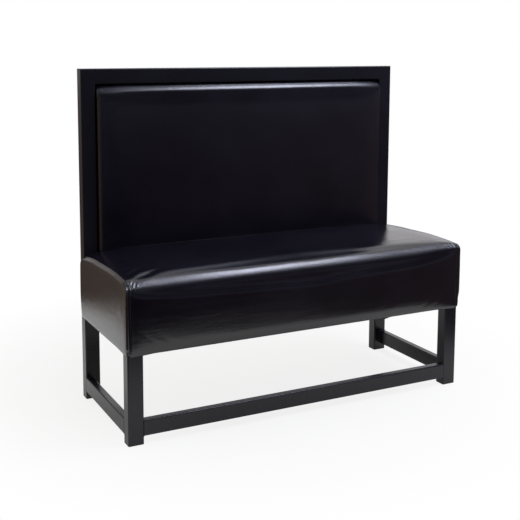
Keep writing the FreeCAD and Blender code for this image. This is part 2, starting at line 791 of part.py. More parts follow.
def tab_rows():
    """Centres of the tabs on each member round the back opening, and the way each one stands out."""
    reach = S["tab_reach"] / 2
    low = lower_rail_top + S["tab_inset"]
    high = opening_top - S["tab_inset"]
    heights = (low, (low + high) / 2, high)
    third = half_opening / 3
    rows = {
        "left": [(reach - half_opening, z) for z in heights],
        "right": [(half_opening - reach, z) for z in heights],
        "top": [(-third, opening_top - reach), (third, opening_top - reach)],
        "bottom": [(-third, lower_rail_top + reach), (third, lower_rail_top + reach)],
    }
    return rows


def back_screw_places():
    """The board screws sit at one side of each tab."""
    shift = S["tab_width"] / 4
    places = []
    for row, centres in tab_rows().items():
        for x, z in centres:
            places.append((x, z + shift) if row in ("left", "right") else (x + shift, z))
    return places


def panel_screw_places():
    """The panel screws sit at the other side of each tab."""
    shift = S["tab_width"] / 4
    places = []
    for row, centres in tab_rows().items():
        for x, z in centres:
            places.append((x, z - shift) if row in ("left", "right") else (x - shift, z))
    return places


# Steel tabs welded inside the back frame, with countersinks for the board screws
def build_back_tabs():
    nodes = []
    sink = (S["screw_head"] - S["screw_shank"]) / 2 - S["screw_clearance"]
    shift = S["tab_width"] / 4
    for row, centres in tab_rows().items():
        upright = row in ("left", "right")
        body = new_body(f"back_tabs_{row}")
        sketch = new_sketch(body, "XZ_Plane", "outline")
        half_x = (S["tab_reach"] if upright else S["tab_width"]) / 2
        half_z = (S["tab_width"] if upright else S["tab_reach"]) / 2
        board_holes = []
        panel_holes = []
        for x, z in centres:
            draw_rectangle(sketch, x - half_x, z - half_z, x + half_x, z + half_z)
            board_holes.append((x, z + shift) if upright else (x + shift, z))
            panel_holes.append((x, z - shift) if upright else (x - shift, z))
        draw_circles(sketch, board_holes + panel_holes, screw_hole)
        pad(body, sketch, S["tab_thickness"])
        sunk = [FreeCAD.Vector(x.value, 0, z.value) for x, z in board_holes]

        def rear_rims(edge):
            if not isinstance(edge.Curve, Part.Circle) or edge.BoundBox.YMin < -TOLERANCE:
                return False
            return min((edge.Curve.Center - point).Length for point in sunk) < TOLERANCE

        round_edges(body, rear_rims, sink, "Chamfer")
        place(body, ZERO, tab_rear, ZERO)
        nodes.append(body)
    return nodes


def screws(name, seats, length, turn, sunk=False):
    """A set of screws, one per seat of a head, each drawn along its own Z with its head at the start."""
    made = []
    for number, seat in enumerate(seats):
        shank = doc.addObject("Part::Cylinder", f"{name}_shank_{number}")
        bind(shank, "Radius", S["screw_shank"] / 2)
        bind(shank, "Height", length)
        if sunk:
            head = doc.addObject("Part::Cone", f"{name}_head_{number}")
            rim = S["screw_head"] / 2 - S["screw_clearance"] * 2
            bind(head, "Radius1", rim)
            bind(head, "Radius2", S["screw_shank"] / 2)
            bind(head, "Height", rim - S["screw_shank"] / 2)
        else:
            head = doc.addObject("Part::Cylinder", f"{name}_head_{number}")
            bind(head, "Radius", S["screw_head"] / 2)
            bind(head, "Height", S["screw_head_height"])
            bind(head, "Placement.Base.z", -S["screw_head_height"])
        screw = boolean("Fuse", f"{name}_{number}", shank, head)
        place(screw, *seat, turn)
        made.append(screw)
    return boolean("Compound", name, *made)


def deck_tab_centres():
    """Centres of the tabs under the deck, two inside the front rail and two inside the rear rail."""
    third = half_opening * 2 / 3
    reach = S["tab_reach"] / 2
    front_inner = front + S["apron_thickness"] + S["rail_thickness"]
    rear_inner = rear - S["vinyl"] - S["apron_thickness"] - S["rail_thickness"]
    rows = {"front": front_inner + reach, "rear": rear_inner - reach}
    return {row: [(-third, y), (third, y)] for row, y in rows.items()}


# Tabs under the deck, and the screws of the deck, the back board and the rear panel
def build_fixings():
    reach = S["tab_reach"] / 2
    half = S["tab_width"] / 2
    nodes = []
    deck_seats = []
    for row, centres in deck_tab_centres().items():
        body = new_body(f"deck_tabs_{row}")
        sketch = new_sketch(body, "XY_Plane", "outline")
        for x, y in centres:
            draw_rectangle(sketch, x - half, y - reach, x + half, y + reach)
            deck_seats.append((x, y, S["deck_rise"] - S["tab_thickness"]))
        draw_circles(sketch, centres, screw_hole)
        pad(body, sketch, S["tab_thickness"])
        place(body, ZERO, ZERO, S["deck_rise"] - S["tab_thickness"])
        nodes.append(body)
    board_seats = [(x, tab_rear, z) for x, z in back_screw_places()]
    panel_seats = [(x, panel_rear, z) for x, z in panel_screw_places()]
    grip = S["tab_thickness"] + S["screw_bite"]
    nodes.append(screws("deck_screws", deck_seats, grip, UPRIGHT))
    nodes.append(screws("board_screws", board_seats, grip, FORWARD, sunk=True))
    nodes.append(screws("panel_screws", panel_seats, S["panel_thickness"] + grip, FORWARD))
    return nodes


def finish(nodes):
    """Checks every object and writes each sub-part to its own file."""
    doc.recompute()
    for item in doc.Objects:
        if "Invalid" in item.State or "Error" in item.State:
            raise RuntimeError(f"{item.Label} failed: {item.State}")
    os.makedirs("parts", exist_ok=True)
    for item in nodes:
        if item.Shape.isNull() or not item.Shape.isValid():
            raise RuntimeError(f"{item.Label} has no valid shape")
        item.Shape.exportStep(os.path.join("parts", f"{item.Label}.step"))
        print(item.Label, len(item.Shape.Solids), round(item.Shape.Volume))


nodes = build_posts() + build_back_rails() + build_stretchers() + build_seat_rails()
nodes += build_glides() + build_seat_boards() + build_seat_cushion()
nodes += build_back() + build_back_tabs() + build_fixings()
finish(nodes)
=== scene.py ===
# %% [markdown]
# # A booth bench dressed in Blender
# The bench is an upholstered seat and back pad in a welded steel frame. The hard parts come from
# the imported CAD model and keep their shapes. This lesson gives every part its finish, and models
# the soft parts again as stuffed and sewn pieces, because a solid with crisp faces never looks
# like vinyl over foam.

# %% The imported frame
import math

import bmesh
import bpy
import numpy as np
from mathutils import Euler, Matrix, Vector, noise
from mathutils.bvhtree import BVHTree


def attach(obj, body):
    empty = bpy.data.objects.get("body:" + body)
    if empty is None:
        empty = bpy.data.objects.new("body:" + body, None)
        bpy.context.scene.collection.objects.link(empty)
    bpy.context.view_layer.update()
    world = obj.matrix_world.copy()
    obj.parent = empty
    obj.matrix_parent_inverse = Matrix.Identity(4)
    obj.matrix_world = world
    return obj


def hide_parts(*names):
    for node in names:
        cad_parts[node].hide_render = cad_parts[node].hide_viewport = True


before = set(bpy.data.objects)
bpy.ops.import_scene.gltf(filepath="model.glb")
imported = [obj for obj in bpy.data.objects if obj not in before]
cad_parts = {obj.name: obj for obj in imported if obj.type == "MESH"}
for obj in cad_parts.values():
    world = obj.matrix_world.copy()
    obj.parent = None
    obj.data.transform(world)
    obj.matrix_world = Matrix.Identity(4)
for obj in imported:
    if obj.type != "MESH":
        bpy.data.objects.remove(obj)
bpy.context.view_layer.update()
print("CAD nodes:", len(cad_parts))

# %% [markdown]
# ## The camera
# The photograph was taken from the left front, a little above the top of the back. Its place and
# lens were worked out from the edges of the steel frame. The shift moves the picture without
# turning the camera, so the uprights stay parallel as they are in the photograph.

# %% Camera
camera_data = bpy.data.cameras.new("photo_camera")
camera = bpy.data.objects.new("photo_camera", camera_data)
bpy.context.scene.collection.objects.link(camera)
bpy.context.scene.camera = camera
camera.location = (-1.4693, -2.6697, 1.1708)
turn_from_front = math.radians(25.815)
tilt_down = math.radians(7.101)
camera.rotation_euler = Euler((math.pi / 2 - tilt_down, 0, -turn_from_front))
camera_data.sensor_width = 36
camera_data.lens = 63.0
camera_data.shift_x = 0.0646
camera_data.shift_y = -0.1863
print("camera", tuple(round(value, 3) for value in camera.location))

# %% [markdown]
# ## Studio
# Glossy black vinyl shows its room more than its own colour. The photograph shows a white
# backdrop behind the bench and a darker room in front of it, so the world here has the same two
# sides. The room has a pale strip along its horizon, which the rolled edges mirror.
# The camera itself sees plain white, and a pale floor keeps the shadow of the bench.

# %% Nodes made by name
def add_node(tree, kind, **inputs):
    """A shader node with its sockets set by name, where spaces are written as underscores."""
    node = tree.nodes.new(kind)
    for name, value in inputs.items():
        node.inputs[name.replace("_", " ")].default_value = value
    return node


def scale_range(tree, source, low, high, new_low, new_high):
    """Maps a value from one range to another and stops at the ends."""
    node = add_node(tree, "ShaderNodeMapRange")
    tree.links.new(source, node.inputs["Value"])
    node.inputs["From Min"].default_value = low
    node.inputs["From Max"].default_value = high
    node.inputs["To Min"].default_value = new_low
    node.inputs["To Max"].default_value = new_high
    return node.outputs["Result"]


def combine(tree, operation, first, second):
    """One value from two, each a socket or a number."""
    node = tree.nodes.new("ShaderNodeMath")
    node.operation = operation
    for socket, value in zip(node.inputs, (first, second)):
        if isinstance(value, (int, float)):
            socket.default_value = value
        else:
            tree.links.new(value, socket)
    return node.outputs["Value"]


def blend_colours(tree, share, first, second):
    """A colour between two, by a share from 0 to 1."""
    node = tree.nodes.new("ShaderNodeMix")
    node.data_type = "RGBA"
    for socket, value in ((node.inputs[0], share), (node.inputs[6], first), (node.inputs[7], second)):
        if isinstance(value, (int, float)):
            socket.default_value = value
        elif isinstance(value, tuple):
            socket.default_value = (*value, 1.0)
        else:
            tree.links.new(value, socket)
    return node.outputs[2]


def kinds_of_ray(tree):
    """Two masks: rays from the camera, and rays that a glossy or clear surface sends on."""
    seen = add_node(tree, "ShaderNodeLightPath")
    glossy, through = seen.outputs["Is Glossy Ray"], seen.outputs["Is Transmission Ray"]
    return seen.outputs["Is Camera Ray"], combine(tree, "MAXIMUM", glossy, through)


# %% Colours of the room
WHITE = (1.0, 1.0, 1.0)
BACKDROP_GREY = (0.6, 0.6, 0.62)
BACKDROP_MIRRORED = (0.99, 0.97, 1.0)
BACKDROP_LEFT = (0.55, 0.48, 0.44)
ROOM_LOW = (0.012, 0.010, 0.018)
ROOM_LOW_RIGHT = (0.125, 0.085, 0.085)
ROOM_FAR = (0.05, 0.050, 0.072)
ROOM_FAR_RIGHT = (0.085, 0.066, 0.070)
ROOM_HORIZON = (0.42, 0.43, 0.58)
ROOM_LEFT = (0.42, 0.32, 0.24)
ROOM_HIGH = (0.38, 0.41, 0.5)

# %% World with a white side behind the bench and a dim side in front
world = bpy.data.worlds.new("studio")
bpy.context.scene.world = world
world.use_nodes = True
sky = world.node_tree
sky.nodes.clear()
direction = add_node(sky, "ShaderNodeTexCoord")
parts = add_node(sky, "ShaderNodeSeparateXYZ")
sky.links.new(direction.outputs["Generated"], parts.inputs["Vector"])
to_right = parts.outputs["X"]
to_back = parts.outputs["Y"]
upward = parts.outputs["Z"]
above_floor = scale_range(sky, upward, -0.03, 0.03, 0.0, 1.0)
behind = scale_range(sky, to_back, 0.05, 0.35, 0.0, 1.0)
behind = combine(sky, "MULTIPLY", behind, above_floor)
high_up = scale_range(sky, upward, 0.3, 0.8, 0.0, 1.0)
left_side = scale_range(sky, to_right, -0.15, -0.5, 0.0, 1.0)
not_in_front = scale_range(sky, to_back, -0.6, 0.1, 0.25, 1.0)
left_side = combine(sky, "MULTIPLY", left_side, not_in_front)
right_side = scale_range(sky, to_right, 0.28, 0.68, 0.0, 1.0)
over_horizon = scale_range(sky, upward, -0.06, 0.0, 0.0, 1.0)
from_below = scale_range(sky, upward, -0.048, -0.028, 0.0, 1.0)
from_above = scale_range(sky, upward, -0.005, 0.03, 1.0, 0.0)
at_horizon = combine(sky, "MULTIPLY", from_below, from_above)
low_room = blend_colours(sky, right_side, ROOM_LOW, ROOM_LOW_RIGHT)
far_room = blend_colours(sky, right_side, ROOM_FAR, ROOM_FAR_RIGHT)
room = blend_colours(sky, over_horizon, low_room, far_room)
room = blend_colours(sky, at_horizon, room, ROOM_HORIZON)
room = blend_colours(sky, left_side, room, ROOM_LEFT)
room = blend_colours(sky, high_up, room, ROOM_HIGH)
room = blend_colours(sky, behind, room, BACKDROP_GREY)
from_camera, mirrored = kinds_of_ray(sky)
dim_left = scale_range(sky, to_right, 0.05, -0.3, 0.0, 1.0)
dim_left = combine(sky, "MULTIPLY", dim_left, mirrored)
bright = blend_colours(sky, mirrored, WHITE, BACKDROP_MIRRORED)
bright = blend_colours(sky, dim_left, bright, BACKDROP_LEFT)
backed = combine(sky, "MULTIPLY", mirrored, behind)
shows_backdrop = combine(sky, "MAXIMUM", from_camera, backed)
shown = blend_colours(sky, shows_backdrop, room, bright)
backdrop = add_node(sky, "ShaderNodeBackground", Strength=1.0)
sky.links.new(shown, backdrop.inputs["Color"])
sky_end = add_node(sky, "ShaderNodeOutputWorld")
sky.links.new(backdrop.outputs["Background"], sky_end.inputs["Surface"])
print("world nodes:", len(sky.nodes))

# %% [markdown]
# ### Floor
# The floor is a round pale disc. It keeps its shadow close to the bench and turns to the white of
# the backdrop towards its rim, so that no edge of it shows. What the steel and the vinyl mirror is
# mostly the floor's own paint near the bench, and its white further out.

# %% Floor
FLOOR_RADIUS = 1.28
floor_form = bmesh.new()
bmesh.ops.create_circle(floor_form, cap_ends=True, segments=96, radius=FLOOR_RADIUS)
floor_mesh = bpy.data.meshes.new("studio_floor")
floor_form.to_mesh(floor_mesh)
floor_form.free()
floor = bpy.data.objects.new("studio_floor", floor_mesh)
floor.location = (0.0, 0.30, 0.0)
bpy.context.scene.collection.objects.link(floor)

floor_finish = bpy.data.materials.new("pale_floor")
floor_finish.use_nodes = True
tree = floor_finish.node_tree
tree.nodes.clear()
paint = add_node(tree, "ShaderNodeBsdfDiffuse", Color=(0.78, 0.755, 0.66, 1.0))
glow = add_node(tree, "ShaderNodeEmission", Color=(1.0, 1.0, 1.0, 1.0), Strength=1.0)
spot = add_node(tree, "ShaderNodeTexCoord")
reach = add_node(tree, "ShaderNodeVectorMath")
reach.operation = "LENGTH"
tree.links.new(spot.outputs["Object"], reach.inputs[0])
share = scale_range(tree, reach.outputs["Value"], 0.6, 1.22, 0.84, 1.0)
from_bench = add_node(tree, "ShaderNodeMapping")
from_bench.inputs["Location"].default_value = (0.0, 0.44, 0.0)
from_bench.inputs["Scale"].default_value = (1.0, 1.5, 1.0)
tree.links.new(spot.outputs["Object"], from_bench.inputs["Vector"])
beside = add_node(tree, "ShaderNodeVectorMath")
beside.operation = "LENGTH"
tree.links.new(from_bench.outputs["Vector"], beside.inputs[0])
mirrored_share = scale_range(tree, beside.outputs["Value"], 0.45, 0.95, 0.10, 0.95)
from_camera, mirrored = kinds_of_ray(tree)
share = combine(tree, "MULTIPLY", share, from_camera)
share = combine(tree, "ADD", share, combine(tree, "MULTIPLY", mirrored_share, mirrored))
both = add_node(tree, "ShaderNodeMixShader")
tree.links.new(share, both.inputs["Fac"])
tree.links.new(paint.outputs["BSDF"], both.inputs[1])
tree.links.new(glow.outputs["Emission"], both.inputs[2])
floor_end = add_node(tree, "ShaderNodeOutputMaterial")
tree.links.new(both.outputs["Shader"], floor_end.inputs["Surface"])
floor.data.materials.append(floor_finish)
print("floor radius:", FLOOR_RADIUS)


# %% [markdown]
# ### Lamps
# A bright softbox hangs high up beyond the right end of the bench, under a wide dim one. Both show
# as the streak along the front roll. A weak warm lamp far out on the left lights the end panel.

# %% Soft lamps
def softbox(name, place, aim, width, height, radiance, colour):
    """A rectangular soft lamp. Its power follows from its size, so the radiance is what is set."""
    lamp = bpy.data.lights.new(name, "AREA")
    lamp.shape = "RECTANGLE"
    lamp.size = width
    lamp.size_y = height
    lamp.energy = radiance * math.pi * width * height
    lamp.color = colour
    holder = bpy.data.objects.new(name, lamp)
    holder.location = place
    holder.rotation_euler = (Vector(aim) - Vector(place)).to_track_quat("-Z", "Y").to_euler()
    bpy.context.scene.collection.objects.link(holder)
    print(name, "power", round(lamp.energy, 1))


COOL = (0.80, 0.83, 1.0)
WARM = (1.0, 0.93, 0.86)
softbox("overhead_softbox", (1.18, -0.62, 2.9), (1.18, -0.2, 0.5), 0.96, 1.45, 12.8, COOL)
softbox("wide_softbox", (1.14, -0.85, 2.95), (1.14, -0.4, 0.5), 2.0, 2.5, 1.3, COOL)
softbox("left_fill", (-3.0, 0.0, 1.9), (0, 0, 0.5), 1.4, 1.4, 1.6, WARM)

# %% [markdown]
# ## Finishes
# Each finish is made of nodes only. The patterns read Object coordinates, which are metres here,
# so a scale of 500 gives marks about two millimetres apart, on every piece alike.

# %% What every finish starts from
def new_finish(name, **settings):
    """A material with one Principled shader, and its Object coordinates."""
    finish = bpy.data.materials.new(name)
    finish.use_nodes = True
    tree = finish.node_tree
    tree.nodes.clear()
    shader = add_node(tree, "ShaderNodeBsdfPrincipled", **settings)
    end = add_node(tree, "ShaderNodeOutputMaterial")
    tree.links.new(shader.outputs["BSDF"], end.inputs["Surface"])
    where = add_node(tree, "ShaderNodeTexCoord").outputs["Object"]
    return finish, tree, shader, where


def stretched(tree, where, scale, turn=(0.0, 0.0, 0.0)):
    """Object coordinates stretched by three factors, for marks that run one way."""
    node = add_node(tree, "ShaderNodeMapping")
    node.inputs["Rotation"].default_value = turn
    tree.links.new(where, node.inputs["Vector"])
    node.inputs["Scale"].default_value = scale
    return node.outputs["Vector"]


def cloud(tree, where, scale, detail=3.0, roughness=0.5):
    """Soft noise, about 0.5 in the middle."""
    node = add_node(tree, "ShaderNodeTexNoise", Scale=scale, Detail=detail, Roughness=roughness)
    tree.links.new(where, node.inputs["Vector"])
    return node.outputs["Fac"]


def cells(tree, where, scale, feature="F1"):
    """Distance to the nearest cell centre or cell edge."""
    node = add_node(tree, "ShaderNodeTexVoronoi", Scale=scale)
    node.feature = feature
    tree.links.new(where, node.inputs["Vector"])
    return node.outputs["Distance"]


def two_tone(tree, pattern, low, high, dark, light):
    """A colour between two that follows a pattern from low to high."""
    return blend_colours(tree, scale_range(tree, pattern, low, high, 0.0, 1.0), dark, light)


def weigh(tree, first, first_weight, second, second_weight):
    """The sum of two patterns, each times its weight."""
    first = combine(tree, "MULTIPLY", first, first_weight)
    return combine(tree, "ADD", first, combine(tree, "MULTIPLY", second, second_weight))


def raise_by(tree, height, depth, strength=1.0, below=None):
    """A bump from a height between 0 and 1, with its depth in metres."""
    node = add_node(tree, "ShaderNodeBump", Strength=strength, Distance=depth)
    tree.links.new(height, node.inputs["Height"])
    if below is not None:
        tree.links.new(below, node.inputs["Normal"])
    return node.outputs["Normal"]


def dress(tree, shader, colour, roughness, bump=None):
    """Links a colour, a roughness and a bump to a finish's shader."""
    for name, source in (("Base Color", colour), ("Roughness", roughness), ("Normal", bump)):
        if source is not None:
            tree.links.new(source, shader.inputs[name])


# %% [markdown]
# ### Black vinyl
# Upholstery vinyl is pressed with a fine leather grain of small cells. It is smooth and glossy
# over the grain, so it takes a low roughness that varies a little where it has been sat on and
# wiped, long faint stretch marks that follow the width of the seat, and patches of fine creases,
# which are the edges of long narrow cells.

# %% Black vinyl
def black_vinyl(name, stretch_marks):
    """Glossy black upholstery vinyl. Stretch marks run along the three factors given."""
    finish, tree, shader, where = new_finish(name, Specular_IOR_Level=0.62, IOR=1.5)
    shade = cloud(tree, where, 5.0, 4.0)
    colour = two_tone(tree, shade, 0.35, 0.65, (0.0048, 0.0042, 0.0076), (0.0086, 0.0075, 0.0128))
    gloss = weigh(tree, shade, 0.16, cloud(tree, where, 38.0, 3.0), 0.1)
    marks = cloud(tree, stretched(tree, where, stretch_marks), 1.0, 4.0, 0.6)
    grain = cells(tree, where, 620.0)
    fine = cloud(tree, where, 1500.0, 2.0)
    narrow = stretched(tree, where, (210.0, 130.0, 62.0), (0.0, 0.75, 0.3))
    crinkles = cells(tree, narrow, 1.0, "DISTANCE_TO_EDGE")
    creased = scale_range(tree, crinkles, 0.0, 0.16, 1.0, 0.0)
    patchy = scale_range(tree, cloud(tree, where, 9.0, 3.0), 0.3, 0.7, 0.25, 1.0)
    creased = combine(tree, "MULTIPLY", creased, patchy)
    bump = raise_by(tree, marks, 0.0012, 0.35)
    bump = raise_by(tree, creased, 0.00024, 0.5, bump)
    bump = raise_by(tree, grain, 0.00022, 0.5, bump)
    bump = raise_by(tree, fine, 0.00008, 0.5, bump)
    dress(tree, shader, colour, scale_range(tree, gloss, 0.04, 0.22, 0.14, 0.22), bump)
    return finish


seat_vinyl = black_vinyl("black_seat_vinyl", (5.0, 55.0, 55.0))
back_vinyl = black_vinyl("black_back_vinyl", (14.0, 14.0, 14.0))
print("vinyl nodes:", len(seat_vinyl.node_tree.nodes))

# %% [markdown]
# ### Powder coated steel, plastic, plywood and the rest
# Powder coat flows into a very fine orange peel, and it is dulled near the floor by shoes and
# mops. The other finishes are mostly hidden, but each still gets the mark of its stuff.

# %% Powder coat
powder_coat, tree, shader, where = new_finish("black_powder_coat", Specular_IOR_Level=0.42)
shade = cloud(tree, where, 7.0, 4.0)
colour = two_tone(tree, shade, 0.3, 0.7, (0.0056, 0.0056, 0.0092), (0.0094, 0.0094, 0.0148))
height = add_node(tree, "ShaderNodeSeparateXYZ")
tree.links.new(where, height.inputs["Vector"])
low_down = scale_range(tree, height.outputs["Z"], 0.02, 0.16, 1.0, 0.0)
scuffs = cloud(tree, stretched(tree, where, (30.0, 30.0, 8.0)), 4.0, 5.0, 0.65)
scuffed = combine(tree, "MULTIPLY", low_down, scale_range(tree, scuffs, 0.5, 0.8, 0.0, 1.0))
colour = blend_colours(tree, scuffed, colour, (0.026, 0.025, 0.026))
dull = scale_range(tree, weigh(tree, shade, 0.22, scuffed, 0.1), 0.05, 0.35, 0.25, 0.46)
bump = raise_by(tree, cloud(tree, where, 420.0, 2.0), 0.0001, 0.5)
dress(tree, shader, colour, dull, bump)

# %% Moulded plastic of the foot glides
glide_plastic, tree, shader, where = new_finish("black_glide_plastic", Specular_IOR_Level=0.45)
shade = cloud(tree, where, 60.0, 4.0)
colour = two_tone(tree, shade, 0.35, 0.7, (0.013, 0.013, 0.013), (0.035, 0.033, 0.03))
bump = raise_by(tree, cloud(tree, where, 900.0, 2.0), 0.0001, 0.5)
dress(tree, shader, colour, scale_range(tree, shade, 0.3, 0.7, 0.45, 0.7), bump)

# %% Plywood
plywood, tree, shader, where = new_finish("birch_plywood", Specular_IOR_Level=0.3)
bands = cloud(tree, stretched(tree, where, (3.0, 60.0, 60.0)), 1.6, 5.0, 0.6)
colour = two_tone(tree, bands, 0.35, 0.65, (0.42, 0.27, 0.14), (0.62, 0.45, 0.27))
bump = raise_by(tree, bands, 0.0003, 0.4)
dress(tree, shader, colour, scale_range(tree, bands, 0.3, 0.7, 0.55, 0.75), bump)

# %% Zinc plated screws
screw_zinc, tree, shader, where = new_finish("zinc_screw", Metallic=1.0)
shade = cloud(tree, where, 300.0, 3.0)
colour = blend_colours(tree, shade, (0.42, 0.42, 0.43), (0.62, 0.61, 0.58))
bump = raise_by(tree, shade, 0.0001, 0.3)
dress(tree, shader, colour, scale_range(tree, shade, 0.3, 0.7, 0.28, 0.45), bump)

# %% Black dust cloth
dust_cloth, tree, shader, where = new_finish("black_dust_cloth", Specular_IOR_Level=0.2, Sheen_Weight=0.15)
fibres = cloud(tree, where, 700.0, 5.0, 0.7)
dots = cells(tree, where, 330.0)
colour = two_tone(tree, fibres, 0.35, 0.65, (0.009, 0.009, 0.01), (0.028, 0.027, 0.028))
bump = raise_by(tree, dots, 0.0002, 0.4, raise_by(tree, fibres, 0.0003, 0.6))
dress(tree, shader, colour, scale_range(tree, fibres, 0.3, 0.7, 0.8, 0.95), bump)

# %% Sewing thread
thread, tree, shader, where = new_finish("black_thread", Specular_IOR_Level=0.4, Sheen_Weight=0.2)
twist = cloud(tree, where, 2600.0, 2.0)
colour = blend_colours(tree, twist, (0.008, 0.008, 0.009), (0.03, 0.028, 0.03))
dress(tree, shader, colour, scale_range(tree, twist, 0.3, 0.7, 0.4, 0.6))

# %% Every CAD node gets its finish
finish_of_slot = {
    "frame_paint": powder_coat,
    "glide_plastic": glide_plastic,
    "plywood": plywood,
    "black_vinyl": back_vinyl,
    "foam": plywood,
    "dust_cloth": dust_cloth,
    "screw_steel": screw_zinc,
}
for name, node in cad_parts.items():
    slot_name = node.data.materials[0].name.split(".")[0]
    node.data.materials[0] = finish_of_slot[slot_name]
print("dressed nodes:", len(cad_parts))


# %% [markdown]
# ## The seat cushion
# The seat is foam on a plywood deck, wrapped in vinyl that runs over the front edge and down to
# the skirt, with a panel sewn on at each end. It starts as a plain box with bevelled edges, gets
# an even mesh, is shaped to the measured heights, and is then blown up a little as cloth, which
# gives the soft tension that foam has. The front edge is bent into its roll after the bevels,
# because the roll changes its radius along the front.

# %% Helpers for meshes
def places_of(mesh):
    """The vertices of a mesh as an array of points."""
    places = np.empty(len(mesh.vertices) * 3)
    mesh.vertices.foreach_get("co", places)
    return places.reshape(-1, 3)


def put_places(mesh, places):
    """Moves the vertices of a mesh to an array of points."""
    mesh.vertices.foreach_set("co", places.astype(np.float32).ravel())
    mesh.update()


def normals_of(mesh):
    """The vertex normals of a mesh as an array."""
    normals = np.empty(len(mesh.vertices) * 3)
    mesh.vertex_normals.foreach_get("vector", normals)
    return normals.reshape(-1, 3)


def ease(values, low, high):
    """0 below low, 1 above high, and a smooth change between."""
    share = np.clip((values - low) / (high - low), 0.0, 1.0)
    return share * share * (3 - 2 * share)


def waves(places, scale, seed):
    """Smooth noise between -1 and 1 at each point, the same in each run."""
    return np.array([noise.noise(Vector(place) * scale + Vector((seed, 0, 0))) for place in places])


def block(low, high):
    """A bmesh box between two corners."""
    form = bmesh.new()
    bmesh.ops.create_cube(form, size=1.0)
    middle = (Vector(low) + Vector(high)) / 2
    bmesh.ops.scale(form, vec=Vector(high) - Vector(low), verts=form.verts)
    bmesh.ops.translate(form, vec=middle, verts=form.verts)
    return form


def bevel(form, edges, radius, segments):
    """Bevels edges to a round of the given radius."""
    bmesh.ops.bevel(
        form, geom=edges, offset=radius, segments=segments, affect="EDGES", profile=0.5, material=-1
    )


def round_off(form, radius, segments, chosen):
    """Bevels the edges whose middle and direction are chosen."""
    edges = []
    for edge in form.edges:
        middle = (edge.verts[0].co + edge.verts[1].co) / 2
        run = (edge.verts[1].co - edge.verts[0].co).normalized()
        if chosen(middle, run):
            edges.append(edge)
    bevel(form, edges, radius, segments)


def to_object(form, name):
    """Turns a bmesh into an object at the origin, with smooth faces."""
    mesh = bpy.data.meshes.new(name)
    bmesh.ops.recalc_face_normals(form, faces=form.faces)
    form.to_mesh(mesh)
    form.free()
    mesh.shade_smooth()
    piece = bpy.data.objects.new(name, mesh)
    bpy.context.scene.collection.objects.link(piece)
    return piece


def keep_modified(piece):
    """Makes the result of a piece's modifiers its own mesh."""
    graph = bpy.context.evaluated_depsgraph_get()
    old = piece.data
    piece.data = bpy.data.meshes.new_from_object(piece.evaluated_get(graph))
    piece.modifiers.clear()
    piece.data.name = piece.name
    bpy.data.meshes.remove(old)
    piece.data.shade_smooth()


EVEN_SQUARE = 0.0075


def even_mesh(piece, size):
    """Gives a closed piece an even mesh of small squares."""
    remesh = piece.modifiers.new("even_mesh", "REMESH")
    remesh.mode = "VOXEL"
    remesh.voxel_size = size
    keep_modified(piece)


def finer(piece):
    """One level of subdivision, made part of the mesh."""
    smooth = piece.modifiers.new("finer", "SUBSURF")
    smooth.levels = 1
    smooth.render_levels = 1
    keep_modified(piece)


def cut_away(piece, cutter):
    """Takes the space of another piece out of this one."""
    cut = piece.modifiers.new("cut", "BOOLEAN")
    cut.operation = "DIFFERENCE"
    cut.solver = "EXACT"
    cut.object = cutter
    keep_modified(piece)
    bpy.data.objects.remove(cutter)


def blow_up(piece, held, pressure, cap, frames=20):
    """Cloth under pressure, held where held is near 1, and moved by no more than cap."""
    start = places_of(piece.data)
    group = piece.vertex_groups.new(name="held")
    for level in range(1, 11):
        members = np.flatnonzero(np.round(held * 10) == level)
        if len(members):
            group.add(members.tolist(), level / 10, "REPLACE")
    cloth = piece.modifiers.new("stuffing", "CLOTH")
    settings = cloth.settings
    settings.quality = 5
    settings.mass = 0.3
    settings.tension_stiffness = 18
    settings.compression_stiffness = 12
    settings.shear_stiffness = 8
    settings.bending_stiffness = 0.8
    settings.use_pressure = True
    settings.uniform_pressure_force = pressure
    settings.vertex_group_mass = "held"
    settings.pin_stiffness = 2.0
    settings.effector_weights.gravity = 0
    scene = bpy.context.scene
    for step in range(1, frames + 1):
        scene.frame_set(step)
    graph = bpy.context.evaluated_depsgraph_get()
    moved = places_of(piece.evaluated_get(graph).data) - start
    piece.modifiers.clear()
    scene.frame_set(1)
    length = np.linalg.norm(moved, axis=1, keepdims=True) + 1e-9
    moved *= (1 - held)[:, None] * cap * np.tanh(length / cap) / length
    put_places(piece.data, start + moved)
    print(piece.name, "cloth moved up to", round(float(length.max()) * 1000, 1), "mm before the cap")


# %% Heights of the seat, measured along the end seam and along its middle
SEAT_HALF = 0.6140
SEAT_FRONT = -0.2300
SEAT_TAIL = 0.2305
SKIRT_FOOT = 0.2745
BOX_TOP = 0.5000
seam_run = np.array([-0.231, -0.201, -0.166, -0.121, -0.056, 0.022, 0.104, 0.185, 0.231])
seam_height = np.array([0.4955, 0.5000, 0.5035, 0.5065, 0.5068, 0.5040, 0.5015, 0.4930, 0.4780])
lower_at_right = np.array([0.0010, 0.0015, 0.0023, 0.0035, 0.0036, 0.0035, 0.0025, 0.0, 0.0])
middle_height = np.array([0.4985, 0.5025, 0.5065, 0.5090, 0.5100, 0.5100, 0.5075, 0.5040, 0.5030])


def seat_top(across, along):
    """Height of the seat's top at a point, where its edge stands a little above the seam."""
    low = np.interp(along, seam_run, seam_height) + 0.0042
    low += np.where(across > 0, 0.0020 - np.interp(along, seam_run, lower_at_right), 0.0)
    high = np.interp(along, seam_run, middle_height) + 0.0010 * ease(across, 0.2, 0.5)
    return low + (high - low) * ease(SEAT_HALF - np.abs(across), 0.0, 0.06)


